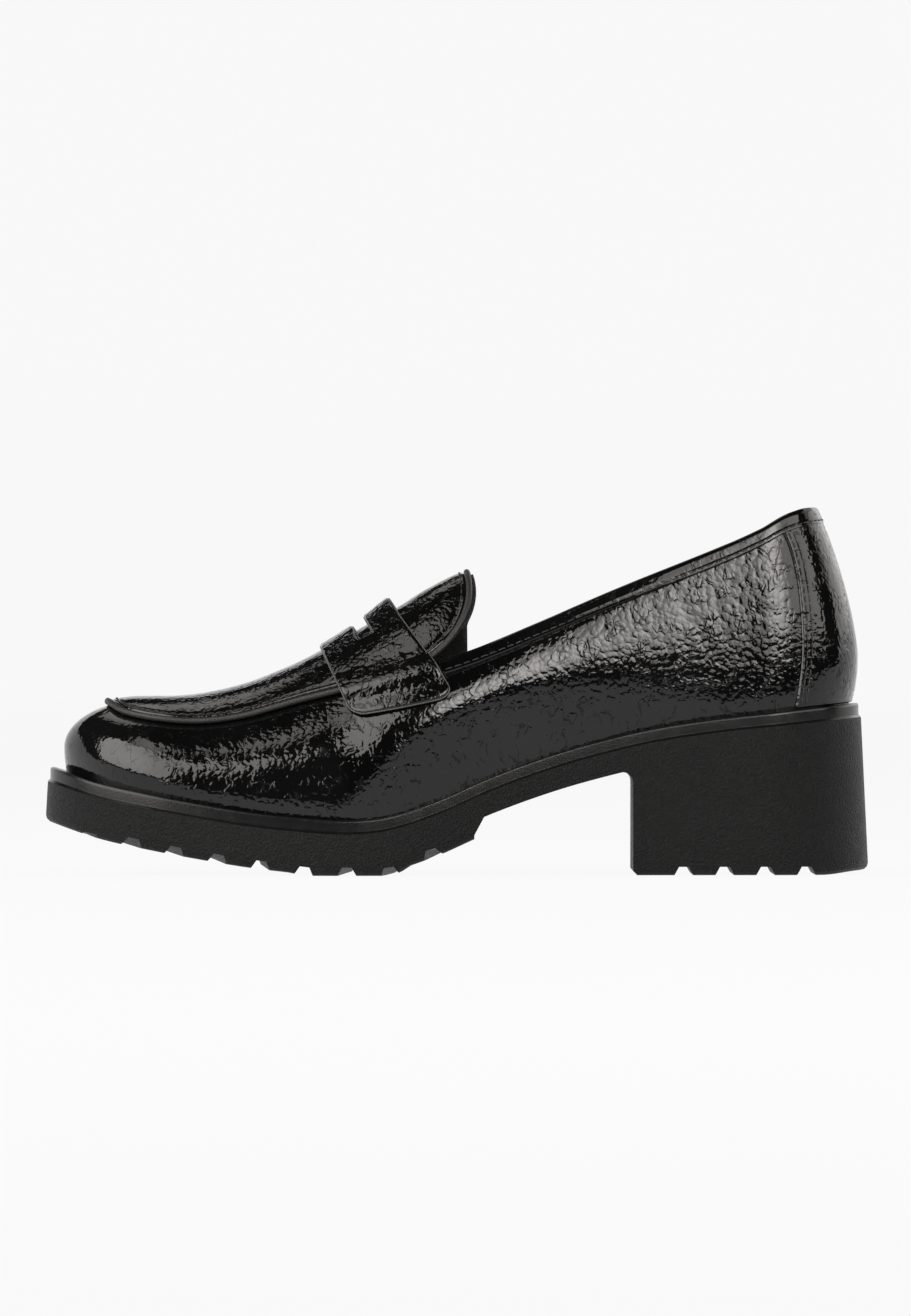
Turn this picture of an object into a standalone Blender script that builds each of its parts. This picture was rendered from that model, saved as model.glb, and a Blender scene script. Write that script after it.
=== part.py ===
"""A women's penny loafer for the left foot, on a moulded lug sole with a block heel.

Metres, +Z up, the toe towards -X and the lateral side towards -Y. The origin is on the floor,
under the middle lug of the heel. A station is a share of the rim's length, 0 at the toe and
1 at the back of the heel. A loop place u runs round the shoe: 0 at the toe, 1 or -1 at the
back of the heel, positive on the medial side and negative on the lateral side.
"""

import math

import bmesh
import bpy
from mathutils import Matrix, Vector

# Clearance between pieces that touch on the real shoe.
GAP = 0.0003

# Sole
RIM_LENGTH = 0.2506
HEEL_REACH = 0.0358
BALL_WIDTH = 0.0920
TOE_SWING = 0.0040
TOE_ROUND = 0.0370
HEEL_ROUND = 0.0300
END_POWER = 2.15
PLATFORM = 0.0173
BALL_STATION = 0.37
FLAT_IN_FRONT = 0.0004
FLAT_BEHIND = 0.0011
HEEL_SEAT = 0.0532
TOE_SPRING = 0.0160
WAIST_THICKNESS = 0.0114
RIM_HEIGHT = 0.0036
BEAD_HEIGHT = 0.0009
BEAD_BACK = 0.0006
STEP_HEIGHT = 0.0009
STEP_OUT = 0.0008
WALL_FLARE = math.tan(math.radians(2.6))
EDGE_ROUND = 0.0022
HEEL_BEVEL = 0.0012
BREAST = 0.0345
BREAST_ROUND = 0.0032
BREAST_CHAMFER = 0.0013
TREAD_END = 0.5367
TREAD_STEP = 0.0030

# Tread grooves. The places and the pitch of the ones in front are stations.
HEEL_GROOVES = 4
HEEL_PITCH = 0.0126
FORE_GROOVES = 9
FORE_PITCH = 0.0531
REAR_FORE_GROOVE = 0.4750
GROOVE_DEPTH = 0.0026
GROOVE_MOUTH = 0.0058
GROOVE_FLOOR = 0.0030
GROOVE_FAN = math.radians(2.5)

# Upper
WALL = 0.0020
BACK_HEIGHT = 0.0595
HEEL_STRAIGHTNESS = 0.72
LEDGE = 0.0030
TOE_LEDGE = 0.0050
INSTEP = 0.0218
LID_POWER = 2.2
THROAT = 0.455
TOE_NORMAL = (-0.30, 0.0, 0.95)

# Apron with its tongue, and the piping round both
APRON_THICKNESS = 0.0016
TONGUE_SIDE = 0.456
TONGUE_BACK = 0.5235
TONGUE_SQUARE = 4.5
TONGUE_CORNER = 2.2
TONGUE_EARS = 0.012
PIPING_RADIUS = 0.0010

# Saddle strap
STRAP_THICKNESS = 0.0015
STRAP_FRONT = 0.3424
STRAP_REAR = 0.441
STRAP_FRONT_SLANT = 0.47
STRAP_REAR_SLANT = 0.70
STRAP_DROP = 0.0116
STRAP_REAR_DROP = 0.0138
STRAP_CORNER = 0.0038
SLOT_FRONT = 0.49
SLOT_REAR = 0.66
SLOT_REACH = 0.42
BRIDGE_REACH = 0.62
BRIDGE_RISE = 0.0025
LIP_RISE = 0.0012

# Collar band and back stay
TRIM_THICKNESS = 0.0009
BAND_HEIGHT = 0.0060
BAND_START = 1.04
BAND_TUCK = 0.0012
STAY_FOOT = 0.0176
STAY_TOP = 0.0122

# Insole
INSOLE_THICKNESS = 0.0025
INSOLE_CLEARANCE = 0.0004

# How finely the solids are faceted
SIDE_COLUMNS = 36
WALL_ROWS = 8
LID_CELLS = 10
APRON_ROWS = 30
APRON_COLUMNS = 15

# The top of the rim: shares of the toe spring and of the rise from the ball to the heel seat.
SEAT_COLUMNS = ("station", "toe_spring", "heel_rise")
SEAT = (
    (0.00, 1.000, 0.000),
    (0.06, 0.700, 0.000),
    (0.12, 0.500, 0.000),
    (0.19, 0.300, 0.000),
    (0.25, 0.150, 0.000),
    (0.31, 0.050, 0.000),
    (0.37, 0.000, 0.000),
    (0.42, 0.000, 0.035),
    (0.48, 0.000, 0.170),
    (0.54, 0.000, 0.355),
    (0.60, 0.000, 0.512),
    (0.66, 0.000, 0.642),
    (0.74, 0.000, 0.778),
    (0.82, 0.000, 0.865),
    (0.91, 0.000, 0.932),
    (1.00, 0.000, 1.000),
)

# The rim's outline: half widths as shares of the ball width, before the ends are rounded.
PLAN_COLUMNS = ("station", "lateral", "medial")
PLAN = (
    (0.00, 0.325, 0.375),
    (0.06, 0.365, 0.400),
    (0.14, 0.425, 0.435),
    (0.22, 0.470, 0.460),
    (0.29, 0.497, 0.465),
    (0.37, 0.510, 0.445),
    (0.45, 0.490, 0.395),
    (0.54, 0.440, 0.345),
    (0.63, 0.395, 0.320),
    (0.73, 0.368, 0.320),
    (0.84, 0.352, 0.332),
    (1.00, 0.340, 0.340),
)

# The wall of the upper. Height is a share of the back height. Lean, how far it comes in at the
# top, and bulge, how far it stands out at its hip, are shares of the ball width. The hip is a share
# of the wall's own height, and the bend is the angle that it turns through above the hip.
WALL_COLUMNS = ("station", "height", "lateral_lean", "medial_lean", "bulge", "hip", "bend")
WALL_SECTIONS = (
    (0.00, 0.352, 0.157, 0.157, 0.008, 0.36, 66.0),
    (0.02, 0.366, 0.140, 0.140, 0.008, 0.34, 66.0),
    (0.05, 0.360, 0.130, 0.130, 0.008, 0.30, 66.0),
    (0.11, 0.371, 0.140, 0.140, 0.007, 0.22, 64.0),
    (0.17, 0.405, 0.160, 0.158, 0.006, 0.15, 62.0),
    (0.22, 0.465, 0.176, 0.172, 0.005, 0.11, 60.0),
    (0.27, 0.546, 0.188, 0.182, 0.004, 0.09, 57.0),
    (0.32, 0.621, 0.186, 0.178, 0.004, 0.08, 53.0),
    (0.37, 0.678, 0.172, 0.162, 0.004, 0.10, 50.0),
    (0.42, 0.715, 0.148, 0.132, 0.006, 0.38, 50.0),
    (0.48, 0.713, 0.114, 0.092, 0.009, 0.55, 50.0),
    (0.54, 0.692, 0.086, 0.054, 0.011, 0.56, 48.0),
    (0.61, 0.708, 0.066, 0.028, 0.011, 0.49, 42.0),
    (0.68, 0.750, 0.056, 0.018, 0.010, 0.34, 37.0),
    (0.76, 0.811, 0.058, 0.026, 0.008, 0.18, 34.0),
    (0.84, 0.899, 0.070, 0.050, 0.006, 0.07, 34.0),
    (0.91, 0.999, 0.090, 0.084, 0.007, 0.08, 34.0),
    (0.96, 1.025, 0.108, 0.106, 0.013, 0.16, 36.0),
    (1.00, 1.023, 0.120, 0.120, 0.020, 0.24, 36.0),
)

# The ridge of the instep above the apron seam, as a share of the instep's height at the throat.
RIDGE_COLUMNS = ("station", "crown")
RIDGE = (
    (0.076, 0.000),
    (0.082, 0.034),
    (0.090, 0.114),
    (0.105, 0.189),
    (0.130, 0.248),
    (0.170, 0.303),
    (0.220, 0.351),
    (0.270, 0.388),
    (0.310, 0.448),
    (0.350, 0.566),
    (0.390, 0.695),
    (0.430, 0.821),
    (0.470, 0.963),
    (0.510, 1.039),
    (0.560, 0.987),
)


def read(table, columns, name, place):
    """The named column of a table at a place, on a smooth curve through its rows."""
    at = columns.index(name)
    rows = [(row[0], row[at]) for row in table]
    if place <= rows[0][0]:
        return rows[0][1]
    if place >= rows[-1][0]:
        return rows[-1][1]
    i = next(k for k in range(len(rows) - 1) if place <= rows[k + 1][0])

    def slope(k):
        low, high = max(k - 1, 0), min(k + 1, len(rows) - 1)
        return (rows[high][1] - rows[low][1]) / (rows[high][0] - rows[low][0])

    (x0, y0), (x1, y1) = rows[i], rows[i + 1]
    run = x1 - x0
    f = (place - x0) / run
    return (
        y0 * (1 + 2 * f) * (1 - f) ** 2
        + slope(i) * run * f * (1 - f) ** 2
        + y1 * f * f * (3 - 2 * f)
        + slope(i + 1) * run * f * f * (f - 1)
    )


def mix(a, b, share):
    return a + (b - a) * share


def ease(low, high, value):
    """0 below low, 1 above high, and a smooth step between them."""
    share = min(max((value - low) / (high - low), 0.0), 1.0)
    return share * share * (3 - 2 * share)


def solve(function, low, high):
    """The place between low and high where a rising function crosses zero."""
    for _ in range(40):
        middle = (low + high) / 2
        if function(middle) < 0:
            low = middle
        else:
            high = middle
    return (low + high) / 2


# Outline and seat


def station_of_loop(u):
    return (1 - math.cos(math.pi * abs(u))) / 2


def loop_of_station(station):
    return math.acos(1 - 2 * min(max(station, 0.0), 1.0)) / math.pi


def x_of_station(station):
    return HEEL_REACH - RIM_LENGTH * (1 - station)


def station_of_x(x):
    return 1 - (HEEL_REACH - x) / RIM_LENGTH


def rounded_end(distance, length):
    """Share of the full width that is left at a distance from a rounded end."""
    if distance >= length:
        return 1.0
    return (1 - (1 - distance / length) ** END_POWER) ** (1 / END_POWER)


def rim(u):
    """The rim's outline in plan."""
    u = (u + 1) % 2 - 1
    station = station_of_loop(u)
    side = "medial" if u > 0 else "lateral"
    half = BALL_WIDTH * read(PLAN, PLAN_COLUMNS, side, station)
    half *= rounded_end(station * RIM_LENGTH, TOE_ROUND)
    half *= rounded_end((1 - station) * RIM_LENGTH, HEEL_ROUND)
    swing = TOE_SWING * max(0.0, 1 - station / 0.4) ** 2
    return Vector((x_of_station(station), swing + math.copysign(half, u)))


def inset(u, distance):
    """The rim's outline, moved inwards in plan."""
    step = 0.004
    along = (rim(u + step) - rim(u - step)).normalized()
    return rim(u) + distance * Vector((along.y, -along.x))


def seat(station):
    """Height of the rim's top, on which the upper stands."""
    spring = TOE_SPRING * read(SEAT, SEAT_COLUMNS, "toe_spring", station)
    rise = (HEEL_SEAT - PLATFORM) * read(SEAT, SEAT_COLUMNS, "heel_rise", station)
    return PLATFORM - GAP + spring + rise


def ground(station):
    """Underside of the sole before the arch is cut out of it: a rocker, then flat for the heel."""
    rocker = max(0.0, seat(station) + GAP - PLATFORM)
    flat = FLAT_IN_FRONT if station < BALL_STATION else FLAT_BEHIND
    rocker *= ease(flat, 3 * flat, rocker)
    into_heel = ease(TREAD_END, station_of_x(-BREAST), station)
    bevel = HEEL_BEVEL * ease(0.95, 1.0, station)
    return mix(rocker, 0.0, into_heel) + bevel


# The skin: the outer face of the upper


def ledge(station):
    """Width of the rim's top that shows outside the upper."""
    return mix(TOE_LEDGE, LEDGE, ease(0.0, 0.12, station))


def wall_point(u, v):
    """A point of the wall, from the rim at v = 0 to the apron seam or the collar at v = 1."""
    u = (u + 1) % 2 - 1
    station = station_of_loop(u)
    height, side_lean, bulge, hip, bend = (
        read(WALL_SECTIONS, WALL_COLUMNS, name, station)
        for name in ("height", "medial_lean" if u > 0 else "lateral_lean", "bulge", "hip", "bend")
    )
    bulge *= BALL_WIDTH
    if v < hip:
        inwards = bulge * ((hip - v) / hip) ** 2 - bulge
        upwards = v
    else:
        turn = math.radians(bend) * (v - hip) / (1 - hip)
        turned = (1 - math.cos(turn)) / (1 - math.cos(math.radians(bend)))
        turned **= mix(1, HEEL_STRAIGHTNESS, ease(0.66, 0.86, station))
        inwards = (BALL_WIDTH * side_lean + bulge) * turned - bulge
        upwards = hip + (1 - hip) * math.sin(turn) / math.sin(math.radians(bend))
    place = inset(u, ledge(station) + inwards)
    foot = seat(station_of_x(inset(u, ledge(station)).x)) + GAP
    return Vector((place.x, place.y, foot + BACK_HEIGHT * height * upwards))


def lid_point(t, w):
    """A point over the instep, from the lateral seam at w = -1 to the medial seam at w = 1."""
    place = wall_point(-t, 1).lerp(wall_point(t, 1), (1 + w) / 2)
    crown = read(RIDGE, RIDGE_COLUMNS, "crown", station_of_x(place.x))
    place.z += INSTEP * crown * (1 - abs(w) ** LID_POWER)
    return place


def skin(t, q):
    """Lid where q is between -1 and 1, then down the lateral wall to -2 or the medial to 2."""
    if abs(q) <= 1:
        return lid_point(t, q)
    return wall_point(math.copysign(t, q), 2 - abs(q))


def wall_normal(u, v):
    step = 0.004
    along = wall_point(u + step, v) - wall_point(u - step, v)
    up = wall_point(u, min(v + step, 1)) - wall_point(u, max(v - step, 0))
    return up.cross(along).normalized()


def skin_normal(t, q):
    """Outward direction of the skin. The lid's share of it is made to agree at the toe's tip."""
    if abs(q) > 1:
        return wall_normal(math.copysign(t, q), 2 - abs(q))
    step, place = 0.004, t
    t = max(t, 5 * step)
    along = skin(t + step, q) - skin(t - step, q)
    across = skin(t, q + step) - skin(t, q - step)
    normal = along.cross(across).normalized()
    return Vector(TOE_NORMAL).lerp(normal, ease(0.0, 0.17, place)).normalized()


def drop_to_q(t, side, drop):
    """q at a distance down the wall below the seam or the collar."""
    height = (wall_point(side * t, 1) - wall_point(side * t, 0)).length
    return side * (1 + drop / height)


# Building


def material(name, colour, roughness):
    made = bpy.data.materials.new(name)
    made.use_nodes = True
    shader = made.node_tree.nodes["Principled BSDF"]
    shader.inputs["Base Color"].default_value = (*colour, 1)
    shader.inputs["Roughness"].default_value = roughness
    shader.inputs["Metallic"].default_value = 0.0
    return made


def add_object(name, points, faces, finish, smooth=True):
    mesh = bpy.data.meshes.new(name)
    mesh.from_pydata(points, [], faces)
    mesh.materials.append(finish)
    if smooth:
        mesh.shade_smooth()
        mesh.set_sharp_from_angle(angle=math.radians(40))
    made = bpy.data.objects.new(name, mesh)
    bpy.context.scene.collection.objects.link(made)
    return made


def thicken(name, points, normals, faces, inner, outer, finish):
    """One closed solid from a sheet: its faces at the outer and inner offsets, and its edges."""
    count = len(points)
    a, b, c = (points[i] for i in faces[-1][:3])
    if (b - a).cross(c - a).dot(normals[faces[-1][0]]) < 0:
        faces = [tuple(reversed(f)) for f in faces]
    outside = [p + n * outer for p, n in zip(points, normals)]
    inside = [p + n * inner for p, n in zip(points, normals)]
    edges = {(f[k], f[(k + 1) % len(f)]) for f in faces for k in range(len(f))}
    rims = [(b, a, a + count, b + count) for a, b in edges if (b, a) not in edges]
    backs = [tuple(i + count for i in reversed(f)) for f in faces]
    return add_object(name, outside + inside, list(faces) + backs + sorted(rims), finish)


def grid_faces(rows, columns):
    return [
        (r * columns + c, r * columns + c + 1, (r + 1) * columns + c + 1, (r + 1) * columns + c)
        for r in range(rows - 1)
        for c in range(columns - 1)
    ]


def spaced(low, high, count):
    return [mix(low, high, k / (count - 1)) for k in range(count)]


def make_upper(finish):
    """Vamp and quarters: one hollow wall, open at the collar and underneath."""
    around = 2 * SIDE_COLUMNS
    points, normals, faces = [], [], []
    for j in range(WALL_ROWS + 1):
        for i in range(around):
            u = i / SIDE_COLUMNS - 1
            points.append(wall_point(u, j / WALL_ROWS))
            normals.append(wall_normal(u, j / WALL_ROWS))
    for j in range(WALL_ROWS):
        for i in range(around):
            low, after = j * around, (i + 1) % around
            faces.append((low + i, low + around + i, low + around + after, low + after))
    top = WALL_ROWS * around
    throat_columns = round(SIDE_COLUMNS * loop_of_station(THROAT))
    last = [top + SIDE_COLUMNS] * (LID_CELLS + 1)
    for k in range(1, throat_columns + 1):
        t = k / SIDE_COLUMNS
        row = [top + SIDE_COLUMNS - k]
        for w in spaced(-1, 1, LID_CELLS + 1)[1:-1]:
            row.append(len(points))
            points.append(lid_point(t, w))
            normals.append(skin_normal(t, w))
        row.append(top + SIDE_COLUMNS + k)
        for a in range(LID_CELLS):
            corners = (last[a], row[a], row[a + 1], last[a + 1])
            faces.append(tuple(dict.fromkeys(corners)))
        last = row
    return thicken("upper", points, normals, faces, -WALL, 0.0, finish)


def tongue_end(w):
    """Loop place of the rear edge of the tongue."""
    side, back = loop_of_station(TONGUE_SIDE), loop_of_station(TONGUE_BACK)
    ears = TONGUE_EARS * w * w * (1 - w**4)
    return mix(side, back, (1 - abs(w) ** TONGUE_SQUARE) ** (1 / TONGUE_CORNER)) + ears


def apron_columns():
    return [math.sin(a * math.pi / 2) for a in spaced(-1, 1, APRON_COLUMNS)]


def make_apron(finish):
    """The plug of the vamp, which runs back into the tongue."""
    points, normals = [lid_point(0, 0)], [skin_normal(0, 0)]
    for r in range(1, APRON_ROWS + 1):
        for w in apron_columns():
            t = tongue_end(w) * r / APRON_ROWS
            points.append(lid_point(t, w))
            normals.append(skin_normal(t, w * 0.999))
    faces = [(0, 2 + a, 1 + a) for a in range(APRON_COLUMNS - 1)]
    faces += [tuple(1 + i for i in f) for f in grid_faces(APRON_ROWS, APRON_COLUMNS)]
    return thicken("apron", points, normals, faces, GAP, GAP + APRON_THICKNESS, finish)


def apron_edge():
    """(t, w) along the apron's edge: back from the toe, across the tongue and forward again."""
    side = loop_of_station(TONGUE_SIDE)
    medial = [(side * r / APRON_ROWS, 1.0) for r in range(1, APRON_ROWS)]
    tongue = [(tongue_end(w), w) for w in reversed(apron_columns())]
    return [(0.0, 0.0)] + medial + tongue + [(t, -w) for t, w in reversed(medial)]


def make_piping(finish):
    """A cord sewn in round the edge of the apron and of its tongue."""
    edge = apron_edge()
    base = [lid_point(t, w) for t, w in edge]
    curve = bpy.data.curves.new("piping", "CURVE")
    curve.dimensions = "3D"
    curve.bevel_depth = PIPING_RADIUS
    curve.bevel_resolution = 2
    line = curve.splines.new("POLY")
    line.points.add(len(edge) - 1)
    line.use_cyclic_u = True
    for k, (t, w) in enumerate(edge):
        before = (base[k] - base[k - 1]).normalized()
        along = (before + (base[(k + 1) % len(edge)] - base[k]).normalized()).normalized()
        up = skin_normal(t, w * 0.999)
        away = up.cross(along).normalized() / max(0.6, along.dot(before))
        place = base[k] + (away + up) * (PIPING_RADIUS + GAP)
        line.points[k].co = (*place, 1)
    curve.materials.append(finish)
    made = bpy.data.objects.new("piping", curve)
    bpy.context.scene.collection.objects.link(made)
    return made


def on_slanted_cut(share, q):
    """Loop place where a line of the skin meets the strap's slanted cut: 0 front, 1 rear."""
    ridge = mix(STRAP_FRONT, STRAP_REAR, share)
    slant = mix(STRAP_FRONT_SLANT, STRAP_REAR_SLANT, share)
    top = lid_point(loop_of_station(ridge), 0)

    def beyond(t):
        place = skin(t, q)
        return place.x - top.x - slant * (top.z - place.z)

    return solve(beyond, 0.2, 0.8)


def strap_lift(t, q, share):
    """Height of the strap's inner face over the skin: over the apron, the piping and the wall."""
    over_apron = 2 * GAP + APRON_THICKNESS
    over_piping = 2.4 * GAP + 2 * PIPING_RADIUS
    below = (abs(q) - 1) * (wall_point(t, 1) - wall_point(t, 0)).length
    lift = mix(over_apron, over_piping, ease(-4 * PIPING_RADIUS, 0.0, below))
    lift = mix(lift, GAP, ease(4.2 * PIPING_RADIUS, 9 * PIPING_RADIUS, below))
    middle = math.cos(math.pi / 2 * min(abs(q) / BRIDGE_REACH, 1)) ** 2
    rise = 0.0 if share < SLOT_REAR else mix(LIP_RISE, BRIDGE_RISE, ease(SLOT_REAR, 1, share))
    front_lip = LIP_RISE / 3 * ease(0.0, SLOT_FRONT, share) if share < SLOT_REAR else 0.0
    return lift + middle * (rise + front_lip)


def make_strap(finish):
    """The saddle across the instep, with its slot and the raised bridge behind the slot."""
    shares = (0.0, 0.06, 0.15, 0.32, SLOT_FRONT, SLOT_REAR, 0.76, 0.86, 0.94, 1.0)
    slot_rows = shares.index(SLOT_FRONT)
    across = 33
    width = RIM_LENGTH * (STRAP_REAR - STRAP_FRONT)
    points, normals = [], []
    for share in shares:
        corner = STRAP_CORNER / (width / 2)
        into = max(0.0, (abs(2 * share - 1) - (1 - corner)) / corner)
        drop = mix(STRAP_DROP, STRAP_REAR_DROP, share)
        drop -= STRAP_CORNER * (1 - math.sqrt(max(0.0, 1 - into * into)))
        middle = loop_of_station(mix(STRAP_FRONT, STRAP_REAR, share))
        end = abs(drop_to_q(middle, 1, drop))
        for a in spaced(-1, 1, across):
            q = a * end
            t = on_slanted_cut(share, q)
            up = skin_normal(t, q)
            points.append(skin(t, q) + up * strap_lift(t, q, share))
            normals.append(up)
    faces = []
    for k, face in enumerate(grid_faces(len(shares), across)):
        row, column = divmod(k, across - 1)
        reach = abs(2 * (column + 0.5) / (across - 1) - 1)
        if row != slot_rows or reach > SLOT_REACH:
            faces.append(face)
    return thicken("saddle_strap", points, normals, faces, 0.0, STRAP_THICKNESS, finish)


def make_collar_band(finish):
    """The strip that binds the collar, from one end of the strap round the heel to the other."""
    columns, shares = 28, (0.0, 0.5, 1.0)
    points, normals = [], []
    for along in spaced(-1, 1, 2 * columns + 1):
        side = math.copysign(1, along)
        for share in shares:
            front = on_slanted_cut(BAND_START, drop_to_q(0.5, side, BAND_HEIGHT * (1 - share)))
            u = side * mix(front, 1, 1 - abs(along))
            tuck = BAND_TUCK * ease(0.0, 0.1, abs(along) - 0.9)
            down = mix(BAND_HEIGHT, tuck, share)
            v = 1 - down / (wall_point(u, 1) - wall_point(u, 0)).length
            points.append(wall_point(u, v))
            normals.append(wall_normal(u, v))
    faces = grid_faces(2 * columns + 1, len(shares))
    return thicken("collar_band", points, normals, faces, GAP, GAP + TRIM_THICKNESS, finish)


def stay_reach(share):
    """How far the back stay reaches forward of the heel, from its foot to its top."""
    return mix(STAY_FOOT, STAY_TOP, ease(0.1, 0.95, share))


def make_back_stay(finish):
    """The strip that covers the back seam, under the collar band."""
    rows, columns = 9, 17
    points, normals = [], []
    for share in spaced(0.0, 1.0, rows):
        v_top = 1 - (BAND_HEIGHT + GAP) / (wall_point(1, 1) - wall_point(1, 0)).length
        v = 0.004 + (v_top - 0.004) * share
        back = wall_point(1, v).x
        edge = {
            side: solve(lambda t: wall_point(side * t, v).x - back + stay_reach(share), 0.6, 1)
            for side in (-1, 1)
        }
        for a in spaced(-1, 1, columns):
            u = 1 - a * (1 - edge[1]) if a >= 0 else 1 - a * (1 - edge[-1])
            points.append(wall_point(u, v))
            normals.append(wall_normal(u, v))
    faces = grid_faces(rows, columns)
    return thicken("back_stay", points, normals, faces, GAP, GAP + TRIM_THICKNESS, finish)


def make_insole(finish):
    """The footbed inside the upper."""
    across = 5
    points, normals = [], []
    for k in range(SIDE_COLUMNS + 1):
        t = k / SIDE_COLUMNS
        station = station_of_loop(t)
        margin = ledge(station) + WALL + INSOLE_CLEARANCE
        ends = inset(-t, margin), inset(t, margin)
        for share in spaced(0, 1, across):
            place = ends[0].lerp(ends[1], share)
            height = seat(station_of_x(place.x)) + GAP
            points.append(Vector((place.x, place.y, height)))
            normals.append(Vector((0, 0, 1)))
    quads = grid_faces(SIDE_COLUMNS + 1, across)
    made = thicken("insole", points, normals, quads, 0.0, INSOLE_THICKNESS, finish)
    weld(made)
    return made


def weld(made):
    """Joins the points that meet at the toe and at the heel, and drops the faces lost there."""
    shape = bmesh.new()
    shape.from_mesh(made.data)
    bmesh.ops.remove_doubles(shape, verts=shape.verts, dist=0.00002)
    bmesh.ops.dissolve_degenerate(shape, edges=shape.edges, dist=0.00001)
    bmesh.ops.recalc_face_normals(shape, faces=shape.faces)
    shape.to_mesh(made.data)
    shape.free()


def sole_levels(station):
    """(height, outset) down the side of the sole: bead, rim, step, wall and rounded edge."""
    top, low = seat(station), ground(station)
    step = top - RIM_HEIGHT - STEP_HEIGHT
    foot = STEP_OUT + WALL_FLARE * (step - low)
    return (
        (top, -BEAD_BACK),
        (top - BEAD_HEIGHT, 0.0),
        (top - RIM_HEIGHT, 0.0),
        (step, STEP_OUT),
        (mix(step, low + EDGE_ROUND, 0.5), mix(STEP_OUT, foot, 0.5)),
        (low + EDGE_ROUND, foot),
        (low + EDGE_ROUND * 0.3, foot - EDGE_ROUND * 0.3),
        (low, foot - EDGE_ROUND),
    )


def prism(name, profile, reach):
    """A cutter: a profile in X and Z, drawn across the shoe."""
    count = len(profile)
    points = [(x, y, z) for y in (-reach, reach) for x, z in profile]
    faces = [tuple(range(count)), tuple(reversed(range(count, 2 * count)))]
    faces += [(k, k + count, (k + 1) % count + count, (k + 1) % count) for k in range(count)]
    mesh = bpy.data.meshes.new(name)
    mesh.from_pydata(points, [], faces)
    made = bpy.data.objects.new(name, mesh)
    bpy.context.scene.collection.objects.link(made)
    weld(made)
    made.hide_render = True
    made.display_type = "WIRE"
    return made


def arch_cutter():
    """The space under the waist, from the end of the tread to the breast of the heel."""
    below = -PLATFORM / 2
    tread_end = x_of_station(TREAD_END)
    breast = station_of_x(-BREAST - BREAST_ROUND)
    profile = [(tread_end - TREAD_STEP, below), (tread_end - TREAD_STEP, ground(TREAD_END))]
    for station in spaced(TREAD_END, breast, 9):
        profile.append((x_of_station(station), seat(station) - WAIST_THICKNESS))
    corner = profile[-1][1] - BREAST_ROUND
    for degrees in (60, 30, 0):
        turn = math.radians(degrees)
        x = -BREAST - BREAST_ROUND * (1 - math.cos(turn))
        profile.append((x, corner + BREAST_ROUND * math.sin(turn)))
    profile.append((-BREAST, BREAST_CHAMFER))
    profile.append((-BREAST + 2 * BREAST_CHAMFER, -BREAST_CHAMFER))
    profile.append((-BREAST + 2 * BREAST_CHAMFER, below))
    return prism("arch_cutter", profile, BALL_WIDTH)


def groove_cutter(name, x, depth, turn):
    """A groove across the tread. Its side towards the lateral edge of the sole is at x."""
    below, spread = 2 * GROOVE_DEPTH, (GROOVE_MOUTH - GROOVE_FLOOR) / (2 * GROOVE_DEPTH)
    wide = GROOVE_FLOOR / 2 + spread * (depth + below)
    floor = GROOVE_FLOOR / 2
    profile = [(-wide, -below), (-floor, depth), (floor, depth), (wide, -below)]
    made = prism(name, profile, BALL_WIDTH)
    station = station_of_x(x)
    lateral = rim(-loop_of_station(station)).y
    rise = (ground(station + 0.01) - ground(station - 0.01)) / (0.02 * RIM_LENGTH)
    made.matrix_world = (
        Matrix.Translation((x, lateral, ground(station)))
        @ Matrix.Rotation(turn, 4, "Z")
        @ Matrix.Rotation(-math.atan(rise), 4, "Y")
    )
    return made


def make_outsole(finish):
    """The unit sole: rim, platform, waist and block heel, moulded in one."""
    points, faces = [], []
    for k in range(SIDE_COLUMNS + 1):
        t = k / SIDE_COLUMNS
        levels = sole_levels(station_of_loop(t))
        for u, ordered in ((-t, levels), (t, tuple(reversed(levels)))):
            for height, outset in ordered:
                place = inset(u, -outset)
                points.append((place.x, place.y, height))
    ring = 2 * len(levels)
    for k in range(SIDE_COLUMNS):
        for j in range(ring):
            a, b = k * ring + j, k * ring + (j + 1) % ring
            faces.append((a, b, b + ring, a + ring))
    made = add_object("outsole", points, faces, finish, smooth=False)
    weld(made)
    cutters = [arch_cutter()]
    for k in range(HEEL_GROOVES):
        x = HEEL_PITCH * (k - (HEEL_GROOVES - 1) / 2)
        cutters.append(groove_cutter(f"heel_groove_{k + 1}", x, GROOVE_DEPTH, 0.0))
    for k in range(FORE_GROOVES):
        x = x_of_station(REAR_FORE_GROOVE - FORE_PITCH * k)
        depth = GROOVE_DEPTH * (0.35 if k == FORE_GROOVES - 1 else 1.0)
        turn = GROOVE_FAN * (k - 3)
        cutters.append(groove_cutter(f"fore_groove_{k + 1}", x, depth, turn))
    for cutter in cutters:
        cut = made.modifiers.new(cutter.name, "BOOLEAN")
        cut.operation = "DIFFERENCE"
        cut.solver = "EXACT"
        cut.object = cutter
    return made


def main():
    for old in list(bpy.data.objects):
        bpy.data.objects.remove(old)
    patent = material("patent_leather", (0.012, 0.012, 0.013), 0.16)
    edging = material("piping_leather", (0.035, 0.030, 0.028), 0.45)
    lining = material("lining", (0.020, 0.020, 0.021), 0.75)
    rubber = material("sole_rubber", (0.030, 0.030, 0.031), 0.60)
    make_outsole(rubber)
    make_insole(lining)
    make_upper(patent)
    make_apron(patent)
    make_piping(edging)
    make_strap(patent)
    make_collar_band(patent)
    make_back_stay(patent)


main()
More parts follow.
